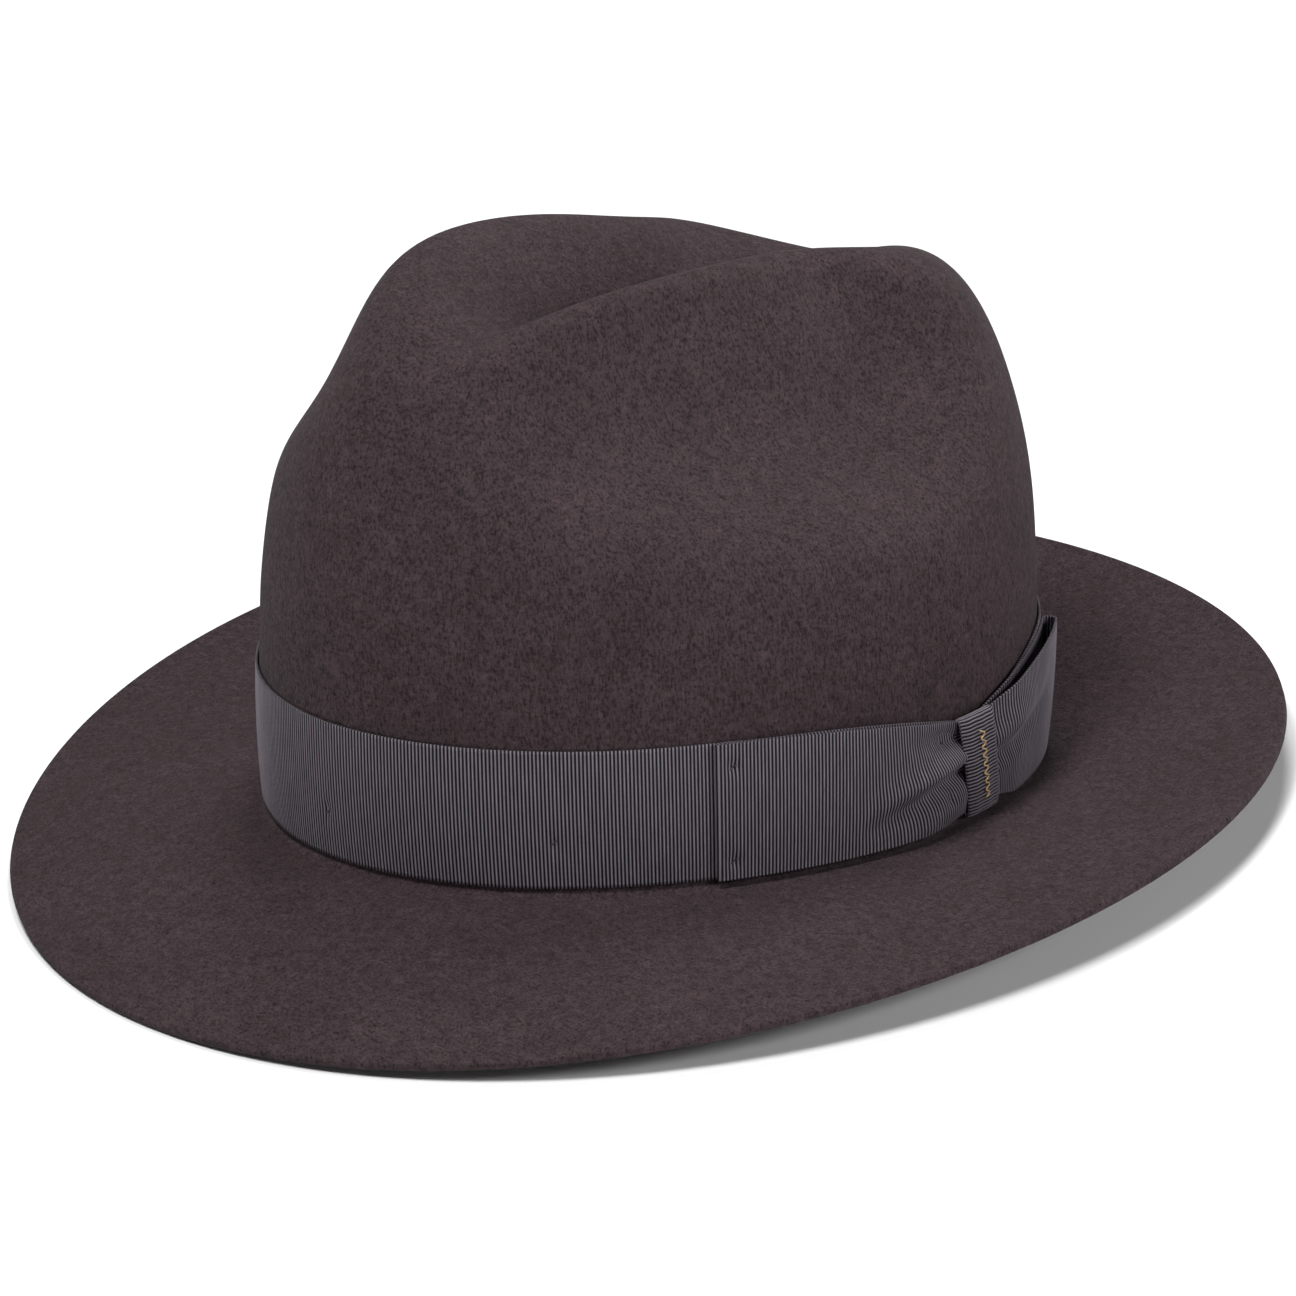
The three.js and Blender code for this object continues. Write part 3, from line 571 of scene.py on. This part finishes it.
# ---- pieces --------------------------------------------------------------------------------------------
def closed_top(faces, columns, rows):
    """Takes out the strip that joins the last rows of a shell's two skins, and returns those rows."""
    last = np.arange(columns) * rows + rows - 1
    below = last + columns * rows
    strip = np.isin(faces, last).any(axis=1) & np.isin(faces, below).any(axis=1)
    return faces[~strip].tolist(), last.tolist(), below.tolist()


def felt_body():
    """Each skin ends in a fan round the middle of the crown's top."""
    columns, rows = felt_outer.shape[:2]
    faces, last, below = closed_top(shell_faces(columns, rows, wrap=True), columns, rows)
    middle = felt_outer[:, -1].mean(axis=0)
    points = np.concatenate([felt_points, [middle, middle - [0, 0, FELT]]])
    count = 2 * columns * rows
    faces += [[a, b, count] for a, b in zip(last, last[1:] + last[:1])]
    faces += [[b, a, count + 1] for a, b in zip(below, below[1:] + below[:1])]
    finished_piece("felt_shape", points, faces, "felt_body", FELT_LOOK)


# ---- ribbons -------------------------------------------------------------------------------------------
def rib_wave(number):
    """A wave between 0 and 1 with its crest at each whole rib number."""
    return 0.5 + 0.5 * np.cos(2 * math.pi * number)


def rib_profile(along, across, width):
    """Height of the ribs that cross the ribbon, with a flat selvedge along both of its edges."""
    from_foot, from_top = across * width, (1 - across) * width
    inside = smooth(SELVEDGE / 2, SELVEDGE, from_foot) * smooth(SELVEDGE / 2, SELVEDGE, from_top)
    return RIB_HEIGHT * rib_wave(along / RIB_PITCH) * inside + SELVEDGE_HEIGHT * (1 - inside)


def distance_along(line):
    """How far each point of a line is from its start, measured along the line."""
    return np.concatenate([[0], np.cumsum(np.linalg.norm(np.diff(line, axis=0), axis=1))])


def even_angles(start, end, per_rib=4):
    """Angles along the band spaced evenly on the crown's wall, per_rib to a rib, and the mm along it."""
    fine = np.linspace(start, end, 2000)
    along = distance_along(wall(fine, BAND_FOOT + BAND_WIDTH / 2, 0.0))
    count = int(along[-1] / RIB_PITCH * per_rib) + 1
    even = np.arange(count) * RIB_PITCH / per_rib
    return np.interp(even, along, fine), even


BAND_TACKS = {"band_tack_front": (4, 14), "band_tack_side": (43.4, 14)}
END_TACKS = {"bow_tack_end_upper": (68.2, 31.2), "bow_tack_end_lower": (68.2, 7)}
KNOT_TACKS = {"bow_tack_knot_upper": (102, 25), "bow_tack_knot_lower": (102.4, 9.5)}


def tack_dimples(angle, height, tacks, depth=0.9, reach=1.5):
    """How far the ribbon is pulled in round its tacks."""
    dip = 0
    for tack_angle, tack_height in tacks.values():
        turn = (angle - tack_angle + 180) % 360 - 180
        dip = dip + bell(np.hypot(turn / DEGREES_PER_MM, height - tack_height) / reach, 1.6)
    return -depth * dip


def edge_rows(count):
    """Places across a ribbon, closer together at its two edges."""
    t = np.linspace(-1, 1, count)
    return 0.5 + 0.5 * np.sign(t) * (1 - (1 - np.abs(t)) ** 1.35)


def hat_band():
    """The band goes once round the crown. It is never quite flat, least of all where it is gathered."""
    angle, along = (line[:, None] for line in even_angles(*BAND_ENDS))
    across = edge_rows(19)[None]
    clear = np.clip((angle - KNOT["angle"]) / GATHER_REACH, 0, 1)
    top = BAND_FOOT + BAND_WIDTH - GATHER_DROP * (1 - clear) ** 2
    top = top - TUCK_DROP * smooth(BAND_ENDS[1] - TUCK_REACH, BAND_ENDS[1], angle)
    height = between(BAND_FOOT, top, across)
    ribs = rib_profile(along, across, BAND_WIDTH)
    slack = BAND_SLACK + BAND_SLACK * np.sin(angle * 0.21 + 3 * across) * np.sin(angle * 0.063 + 1)
    slack = slack + GATHER_SLACK * (1 - clear) ** 2 * (0.5 + 0.5 * np.sin(across * 14))
    offset = GAP + RIBBON + slack + tack_dimples(angle, height, BAND_TACKS)
    outer = wall(angle, height, offset + ribs - RIB_HEIGHT / 2)
    inner = wall(angle, height, offset - RIBBON)
    cloth = (along, across * BAND_WIDTH)
    band = shell("band_ribbon", outer, inner, "hat_band", BAND_LOOK, cloth=cloth)


LOOP_SECTIONS, TURN_SECTIONS = 5, 6  # to a rib, on a loop's plies and where it turns back


def loop_span(loop):
    """The side of the knot that a loop is on, and the angles where it meets the knot and turns back."""
    side = 1 if loop["end"] > KNOT["angle"] else -1
    knot_side = KNOT["angle"] + side * (KNOT["half_angle"] - LOOP_TUCK["side"])
    turn_centre = loop["end"] - side * loop["fold"] * DEGREES_PER_MM
    return side, knot_side, turn_centre


def loop_top(loop, near):
    """Height of a loop's top edge, which falls ever faster towards the knot."""
    return between(loop["top"], KNOT["top"] - LOOP_TUCK["top"], near**LOOP_FALL)


def front_ply_offset(loop, near):
    """A loop's front ply puffs out on its way to the knot and dives in under it."""
    puff = loop["puff"] * smooth(0.1, 0.85, near) - loop["dive"] * smooth(0.75, 1, near)
    return LOOP_FOOT + 2 * loop["fold"] + puff


def loop_line(loop):
    """The line of the ribbon's middle: mm round the crown away from the knot, offset, nearness and ply."""
    _, knot_side, turn_centre = loop_span(loop)
    length = abs(turn_centre - knot_side) / DEGREES_PER_MM
    reach = np.linspace(0, length, int(length / RIB_PITCH * LOOP_SECTIONS))
    turn = np.linspace(0, math.pi, max(8, int(loop["fold"] * math.pi / RIB_PITCH * TURN_SECTIONS)))[1:-1]
    run = np.concatenate([reach, length + loop["fold"] * np.sin(turn), reach[::-1]])
    near = np.concatenate([1 - reach / length, 0 * turn, 1 - reach[::-1] / length])
    back = np.full(len(reach), float(LOOP_FOOT))
    fold = LOOP_FOOT + loop["fold"] * (1 - np.cos(turn))
    offset = np.concatenate([back, fold, front_ply_offset(loop, 1 - reach[::-1] / length)])
    front = np.concatenate([0 * reach, smooth(0, math.pi, turn), 0 * reach + 1])
    return run, offset, near, front


# Folds beside the valley that runs to the knot: place above the valley, height in mm and width. Places and
# widths are shares of the ribbon's width.
FRONT_FOLDS = [(0.16, 2.9, 0.11), (0, -2.7, 0.075), (-0.24, 1.8, 0.15)]
FRONT_DIMPLE = [(0, -2.0, 0.09)]
REAR_FOLDS = [(0.22, 1.2, 0.14), (0, -1.9, 0.1)]


def folded(across, valley, folds):
    return sum(height * bell((across - valley - place) / width) for place, height, width in folds)


def front_pleats(near, across):
    """The front loop's folds near the knot: a lip that rolls over a valley, and a dimple below its top."""
    valley = 0.47 - 0.62 * (1 - near)
    dimple = smooth(0.66, 0.92, near) * folded(across, 0.82, FRONT_DIMPLE)
    return smooth(0.45, 0.95, near) * folded(across, valley, FRONT_FOLDS) + dimple


def rear_pleats(near, across):
    """The rear loop's folds: a ridge above a valley that climbs away from the knot."""
    valley = 0.36 + 0.35 * (1 - near)
    return smooth(0.25, 0.8, near) * folded(across, valley, REAR_FOLDS)


def bow_loop(name, loop, node, pleats, tacks):
    """One loop of the bow: a back ply along the band, a turn, and a pleated front ply back to the knot."""
    side, knot_side, _ = loop_span(loop)
    run, offset, near, front = (line[:, None] for line in loop_line(loop))
    across = edge_rows(41)[None]
    line = np.hstack([run, offset])
    along = distance_along(line)[:, None]
    step = np.gradient(line, axis=0)
    step /= np.linalg.norm(step, axis=1, keepdims=True)
    gather = smooth(loop["waist"], 1, near)
    foot = between(BAND_FOOT, KNOT["foot"] + LOOP_TUCK["foot"], gather)
    height = between(foot, loop_top(loop, near), across)
    slant = KNOT["lean"] * gather * (0.5 - across)
    pressed = 1 - 0.35 * smooth(0.92, 1, near)  # by the knot
    folds = pleats(near, across) * smooth(0.4, 1, front) * pressed
    ribs = rib_profile(along, across, BAND_WIDTH)

    def skin(shift):
        away = run - shift * step[:, 1:]
        off = offset + shift * step[:, :1] + folds
        angle = knot_side + side * away * DEGREES_PER_MM + slant
        return wall(angle, height, off + front * tack_dimples(angle, height, tacks))

    inside = skin(RIBBON / 2)
    outside = skin(-RIBBON / 2 - ribs + RIB_HEIGHT / 2)
    skins = (inside, outside) if side > 0 else (outside, inside)
    made = shell(name, *skins, node, BOW_LOOK, cloth=(along, across * BAND_WIDTH))


def knot_angle(across, up):
    return KNOT["angle"] + across * KNOT["half_angle"] + KNOT["lean"] * (0.5 - up)


def knot_face(across, up, proud=0.0):
    """A point on the knot's face: across from -1 to 1, up from 0 at its foot to 1 at its top."""
    shoulders = (1 - 0.3 * across**4) * (1 - 0.35 * (2 * up - 1) ** 6)
    height = between(KNOT["foot"], KNOT["top"], up)
    return wall(knot_angle(across, up), height, KNOT["stand"] * shoulders + proud)


def oblong(swing):
    """Swells a sine or cosine so that the two draw a rounded oblong in place of a circle."""
    return np.sign(swing) * np.abs(swing) ** (2 / 4.5)


def bow_knot():
    """The knot's ribbon goes once round the bow's waist, over the face and back under the loops."""
    half_height = (KNOT["top"] - KNOT["foot"]) / 2
    half_depth = (KNOT["stand"] - KNOT["back"]) / 2
    turn = np.linspace(0, 2 * math.pi, 321)[:-1]
    section = np.stack([oblong(np.sin(turn)) * half_height, oblong(np.cos(turn)) * half_depth], axis=-1)
    section = np.vstack([section, section[:1]])
    along = distance_along(section)
    ribs = int(along[-1] / RIB_PITCH)
    rib_number = np.arange(ribs * TURN_SECTIONS)[:, None] / TURN_SECTIONS
    high, proud = (np.interp(rib_number / ribs * along[-1], along, side) for side in section.T)
    across = np.linspace(-1, 1, 33)[None]
    facing = smooth(-0.5, 1, proud / half_depth)
    sag = 1 - 0.24 * facing * np.abs(across) ** 3 + 0.02 * facing * np.cos(across * 9)
    edge = smooth(0.82, 0.94, np.abs(across))
    rib = RIB_HEIGHT * rib_wave(rib_number) * (1 - edge) + SELVEDGE_HEIGHT * edge
    outward = np.cos(np.arctan2(high / half_height, proud / half_depth))

    def skin(thick):
        swell = 1 + 2.2 * thick / np.hypot(half_height, half_depth)
        height = KNOT["foot"] + half_height + high * swell + 0.4 * facing * (1 - across**2)
        angle = knot_angle(across, (height - KNOT["foot"]) / (2 * half_height))
        return wall(angle, height, (KNOT["back"] + half_depth + proud) * sag + thick * outward)

    outer = skin(rib - RIB_HEIGHT / 2)
    inner = skin(-RIBBON)
    cloth = (rib_number * RIB_PITCH, (across + 1) * KNOT["half_angle"] / DEGREES_PER_MM)
    knot = shell("knot_ribbon", inner, outer, "bow_knot", BOW_LOOK, wrap=True, cloth=cloth)


def zigzag(zigs, middle, swing):
    """Even places from 0 to 1, and the swings to either side that go with them."""
    count = np.arange(zigs + 1)
    return count / zigs, middle + np.where(count % 2, swing, -swing)


def knot_trim():
    up, across = zigzag(TRIM["zigs"], TRIM["middle"], TRIM["swing"])
    path = rounded(knot_face(across, between(TRIM["foot"], TRIM["top"], up), THREAD + 0.12), 4)
    cords("knot_trim_thread", [path], THREAD * 1.05, "bow_knot_trim", TRIM_LOOK)


def tack(node, place, angle, height):
    """One short slanting stitch that arches over the ribbon."""
    steps = np.linspace(-1, 1, 9)
    lift = THREAD * 0.6 + TACK["arch"] * (1 - steps**2)
    path = place(angle + steps * TACK["reach"] * DEGREES_PER_MM, height + steps * TACK["rise"], lift)
    cords(node + "_stitch", [path], THREAD, node, THREAD_LOOK, sides=8)


def on_band(angle, height, proud):
    dip = tack_dimples(angle, height, BAND_TACKS)
    return wall(angle, height, GAP + RIBBON + BAND_SLACK + dip + proud)


def on_front_loop(angle, height, proud):
    _, knot_side, turn_centre = loop_span(FRONT_LOOP)
    near = np.clip((angle - turn_centre) / (knot_side - turn_centre), 0, 1)
    across = (height - BAND_FOOT) / (loop_top(FRONT_LOOP, near) - BAND_FOOT)
    folds = front_pleats(near, across) + tack_dimples(angle, height, {**END_TACKS, **KNOT_TACKS})
    return wall(angle, height, front_ply_offset(FRONT_LOOP, near) + RIBBON / 2 + folds + proud)


# ---- inside of the hat ---------------------------------------------------------------------------------
LINING_FACE = -(FELT + GAP)
TAPE_FACE = -(FELT + GAP)
REED_DEPTH = TAPE_FACE - REED_TAPE["thickness"] - GAP - REED["radius"]
LEATHER_FOOT = REED_DEPTH - REED["radius"] - GAP
LEATHER_WALL = LINING_FACE - LINING["thickness"] - GAP
SECTIONS = 480
AROUND = np.arange(SECTIONS) / SECTIONS * 360


def leather_face(height):
    return between(LEATHER_FOOT, LEATHER_WALL, smooth(2, LEATHER["seat"], height))


def on_leather(angle, height, proud):
    return wall(angle, height, leather_face(height) - LEATHER["thickness"] - proud)


def strip_rows(foot, top, count):
    return np.linspace(foot, top, count)[None]


def sweatband():
    """The leather's ends meet at the back. Its foot is dented by the stitches along it."""
    angle = np.linspace(180.2, 539.8, SECTIONS)[:, None]
    height = strip_rows(LEATHER["foot"], LEATHER["top"], 44)
    ripple = RIPPLE * np.sin(angle * 0.35 + height * 0.1) * smooth(10, 30, height)
    dents = 0.6 + 0.4 * np.cos(angle * DEGREE * LEATHER["stitches"])
    seam = -STITCH["dent"] * bell((height - LEATHER["stitch_line"]) / STITCH["dent_reach"]) * dents
    thickness = LEATHER["thickness"] * (1 - 0.55 * bell((height - LEATHER["top"]) / 0.5))
    face = leather_face(height) + ripple - RIPPLE
    outer = wall(angle, height, face)
    inner = wall(angle, height, face - thickness - seam)
    shell("sweatband_leather", outer, inner, "sweatband", LEATHER_LOOK)


def ring_path(height, offset):
    return wall(AROUND, height, offset)


def sweatband_reed():
    path = ring_path(REED["height"], REED_DEPTH)
    cords("reed_cord", [path], REED["radius"], "sweatband_reed", REED_LOOK, sides=14, closed=True)


def reed_tape():
    angle = AROUND[:, None]
    height = strip_rows(REED_TAPE["foot"], REED_TAPE["top"], 10)
    wave = 0.05 * np.sin(angle * DEGREE * 75)
    outer = wall(angle, height, TAPE_FACE + wave)
    inner = wall(angle, height, TAPE_FACE + wave - REED_TAPE["thickness"])
    cloth = (angle * DEGREE * HALF_LENGTH, height)
    shell("reed_tape_weave", outer, inner, "sweatband_reed_tape", TAPE_LOOK, wrap=True, cloth=cloth)


def sweatband_stitching():
    pitch = 360 / LEATHER["stitches"]
    run = np.linspace(-STITCH["reach"], STITCH["reach"], 7)
    lift = THREAD * 0.7 + STITCH["arch"] * (1 - (run / STITCH["reach"]) ** 2)
    middles = pitch * np.arange(LEATHER["stitches"])
    paths = [on_leather(middle + pitch * run, LEATHER["stitch_line"], lift) for middle in middles]
    cords("sweatband_stitches", paths, THREAD, "sweatband_stitching", LEATHER_THREAD_LOOK, sides=7)


def seam_lace():
    up, angle = zigzag(LACE["zigs"], 180, LACE["swing"])
    height = between(LACE["foot"], LEATHER["top"] - LACE["below_top"], up)
    path = rounded(on_leather(angle, height, THREAD + 0.45), 6)
    cords("seam_lace_thread", [path], THREAD, "sweatband_seam_lace", LEATHER_THREAD_LOOK)


def small_bow_loop(name, side, node):
    t = np.linspace(0, 1, 61)[:, None]
    angle = 180 + side * between(SMALL_BOW["half_knot"] - 0.2, SMALL_BOW["reach"], t)
    half = between(SMALL_BOW["waist"], SMALL_BOW["width"], np.sin(t * math.pi / 2))
    across = edge_rows(17)[None]
    height = SMALL_BOW["height"] + between(-half, half, across)
    belly = 1 + 1.5 * np.sin(t * math.pi) + 0.25 * (1 - t) * np.cos(across * 15)
    along = t * (SMALL_BOW["reach"] - SMALL_BOW["half_knot"]) / DEGREES_PER_MM
    ribs = 0.6 * rib_profile(along, across, SMALL_BOW["ribbon"])
    back = on_leather(angle, height, SMALL_BOW["stand"])
    face = on_leather(angle, height, RIBBON + belly + ribs)
    skins = (back, face) if side > 0 else (face, back)
    cloth = (along, across * SMALL_BOW["ribbon"])
    piece = shell(name, *skins, node, SMALL_BOW_LOOK, cloth=cloth)


def small_bow_knot():
    across = np.linspace(-1, 1, 25)[:, None]
    up = np.linspace(-1, 1, 25)[None]
    angle = 180 + SMALL_BOW["half_knot"] * across
    height = SMALL_BOW["height"] + (SMALL_BOW["waist"] + 0.5) * up
    swell = 1 - 0.25 * (across**2 + up**2)
    ribs = 0.08 * np.cos(up * 14)
    back = on_leather(angle, height, SMALL_BOW["stand"])
    face = on_leather(angle, height, 3.2 * swell + ribs)
    cloth = (across * 2.4, up * 2.1)
    shell("small_bow_knot_ribbon", back, face, "sweatband_bow_knot", SMALL_BOW_LOOK, cloth=cloth)


def size_tab():
    angle = np.linspace(SIZE_TAB["first"], SIZE_TAB["last"], 25)[:, None]
    height = strip_rows(SIZE_TAB["foot"], SIZE_TAB["top"], 15)
    curl = 0.25 * np.linspace(-1, 1, 25)[:, None] ** 4
    front = on_leather(angle, height, 0.35 + curl)
    back = on_leather(angle, height, 0.7 + curl)
    cloth = ((angle - SIZE_TAB["first"]) / DEGREES_PER_MM, height - SIZE_TAB["foot"])
    shell("blank_size_tab", front, back, "size_tab", TAB_LOOK, cloth=cloth)


def lining_folds(angle, depth):
    """Soft gathers of the lining that deepen towards its tip."""
    a = angle * DEGREE
    wave = np.sin(41 * a + 1.3 * np.sin(5 * a)) + 0.6 * np.sin(67 * a + 2 * np.sin(3 * a) + 1)
    return depth * wave


def lining_wall():
    angle = AROUND[:, None]
    height = strip_rows(LINING["foot"], LINING["top"], 60)
    drawn = LINING["draw_in"] * smooth(LINING["shoulder"], LINING["top"], height)
    gathers = lining_folds(angle, 0.75 * smooth(LINING["shoulder"] + 4, LINING["top"], height))
    face = LINING_FACE - drawn + gathers - 0.2 * smooth(30, 40, height)
    outer = wall(angle, height, face)
    inner = wall(angle, height, face - LINING["thickness"])
    cloth = (angle * DEGREE * HALF_LENGTH, height)
    piece = shell("lining_side", outer, inner, "lining_wall", SATIN_LOOK, wrap=True, cloth=cloth)


def lining_tip():
    angle = AROUND[:, None]
    edge = wall(angle, LINING["top"], LINING_FACE - LINING["draw_in"])
    centre = np.array([0.0, BACK_LEAN, LINING["top"]])
    inward = np.linspace(0, LINING_TIP["covered"], 40)[None, :, None]
    point = edge + (centre - edge) * inward
    gathers = lining_folds(angle, LINING_TIP["gather"] * bell(inward[..., 0] / 0.2))
    dome = LINING_TIP["dome"] * (1 - (1 - inward[..., 0]) ** 2)
    point[..., 2] = LINING["top"] + LINING_TIP["above"] + dome + gathers
    upper = point + [0, 0, LINING["thickness"]]
    columns, rows = point.shape[:2]
    points = np.concatenate([upper.reshape(-1, 3), point.reshape(-1, 3)])
    faces, last, below = closed_top(shell_faces(columns, rows, wrap=True), columns, rows)
    faces += [last, below[::-1]]
    piece = finished_piece("lining_top", points, faces, "lining_tip", SATIN_LOOK)


def lining_piping():
    path = ring_path(LINING["top"] + PIPING["above"], LINING_FACE - LINING["draw_in"] + PIPING["outward"])
    cords("piping_cord", [path], PIPING["radius"], "lining_piping", PIPING_LOOK, sides=12, closed=True)


felt_body()
hat_band()
bow_loop("front_loop", FRONT_LOOP, "bow_front_loop", front_pleats, {**END_TACKS, **KNOT_TACKS})
bow_loop("rear_loop", REAR_LOOP, "bow_rear_loop", rear_pleats, {})
bow_knot()
knot_trim()
for node, place in BAND_TACKS.items():
    tack(node, on_band, *place)
for node, place in {**END_TACKS, **KNOT_TACKS}.items():
    tack(node, on_front_loop, *place)
sweatband()
sweatband_reed()
reed_tape()
sweatband_stitching()
seam_lace()
small_bow_loop("small_bow_left", -1, "sweatband_bow_left_loop")
small_bow_loop("small_bow_right", 1, "sweatband_bow_right_loop")
small_bow_knot()
size_tab()
lining_wall()
lining_tip()
lining_piping()


# ---- camera, floor and light ---------------------------------------------------------------------------
CAMERA = dict(azimuth=49.9, elevation=20.06, distance=1.5, lens=159.46, target=(-0.87, 1.5, 30.0))
LAMPS = {
    "key": dict(right=-0.35, up=1.0, back=0.85, size=0.5, power=17),
    "side": dict(right=1.1, up=0.35, back=0.75, size=0.4, power=8.5),
    "top": dict(right=0.1, up=1.3, back=0.0, size=0.4, power=9),
}  # places from the camera's target, in m
SWEEP = dict(flat=6.0, bend=1.2, sides=96, glow_from=0.4, glow_full=1.0, glow=0.9)  # in m
WORLD_LIGHT = 0.02


def camera_axes():
    """The camera's right, up and back directions and its target, in the part's frame."""
    azimuth, elevation = CAMERA["azimuth"] * DEGREE, CAMERA["elevation"] * DEGREE
    right = np.array([math.cos(azimuth), math.sin(azimuth), 0.0])
    level = np.array([math.sin(azimuth), -math.cos(azimuth), 0.0])
    back = level * math.cos(elevation) + [0.0, 0.0, math.sin(elevation)]
    up = np.cross(back, right)
    return turned @ right, turned @ up, turned @ back, stand(np.array(CAMERA["target"]))


RIGHT, UP, BACK, TARGET = camera_axes()


def camera():
    data = bpy.data.cameras.new("camera")
    data.lens, data.sensor_width = CAMERA["lens"], 36
    eye = bpy.data.objects.new("camera", data)
    spot = TARGET + BACK * CAMERA["distance"]
    columns = np.stack([RIGHT, UP, BACK, spot], axis=1).tolist()
    eye.matrix_world = Matrix([*columns, [0, 0, 0, 1]])
    bpy.context.collection.objects.link(eye)
    bpy.context.scene.camera = eye


def softbox(name, right, up, back, size, power):
    """A round lamp that faces the camera's target."""
    data = bpy.data.lights.new(name, "AREA")
    data.shape, data.size, data.energy = "DISK", size, power
    lamp = bpy.data.objects.new(name, data)
    spot = Vector(TARGET + RIGHT * right + UP * up + BACK * back)
    lamp.location = spot
    lamp.rotation_euler = (Vector(TARGET) - spot).to_track_quat("-Z", "Y").to_euler()
    bpy.context.collection.objects.link(lamp)


def floor():
    """A pale studio sweep: a flat disc whose rim curves up. It glows softly out of the lamps' reach."""
    turn = np.linspace(0, math.pi / 2, 17)[:, None]
    around = np.arange(SWEEP["sides"])[None] / SWEEP["sides"] * 2 * math.pi
    out = SWEEP["flat"] + SWEEP["bend"] * np.sin(turn)
    rise = SWEEP["bend"] * (1 - np.cos(turn))
    points = np.stack(np.broadcast_arrays(out * np.cos(around), out * np.sin(around), rise), axis=-1)
    faces = tube_faces(len(turn), SWEEP["sides"])
    faces.pop()  # the cap across the rim
    mesh = bpy.data.meshes.new("floor")
    mesh.from_pydata(points.reshape(-1, 3).tolist(), [], faces)
    finish = Finish("pale floor", 0.9, Specular_IOR_Level=0.1)
    finish.shader.inputs["Base Color"].default_value = (0.9, 0.9, 0.9, 1)
    finish.shader.inputs["Emission Color"].default_value = (1, 1, 1, 1)
    away = finish.node("VectorMath", {0: finish.place()}, operation="LENGTH").outputs["Value"]
    limits = {"From Min": SWEEP["glow_from"], "From Max": SWEEP["glow_full"], "To Max": SWEEP["glow"]}
    finish.set("Emission Strength", finish.node("MapRange", {"Value": away, **limits}).outputs[0])
    mesh.materials.append(finish.material)
    sweep = bpy.data.objects.new("floor", mesh)
    sweep.location.z = float(cad_low[2]) - 0.0002
    bpy.context.collection.objects.link(sweep)


def studio():
    scene = bpy.context.scene
    world = bpy.data.worlds.new("studio")
    world.use_nodes = True
    background = world.node_tree.nodes["Background"]
    background.inputs[0].default_value = (1, 1, 1, 1)
    background.inputs[1].default_value = WORLD_LIGHT
    scene.world = world
    scene.view_settings.view_transform = "Standard"
    for name, lamp in LAMPS.items():
        softbox(name, **lamp)


camera()
floor()
studio()
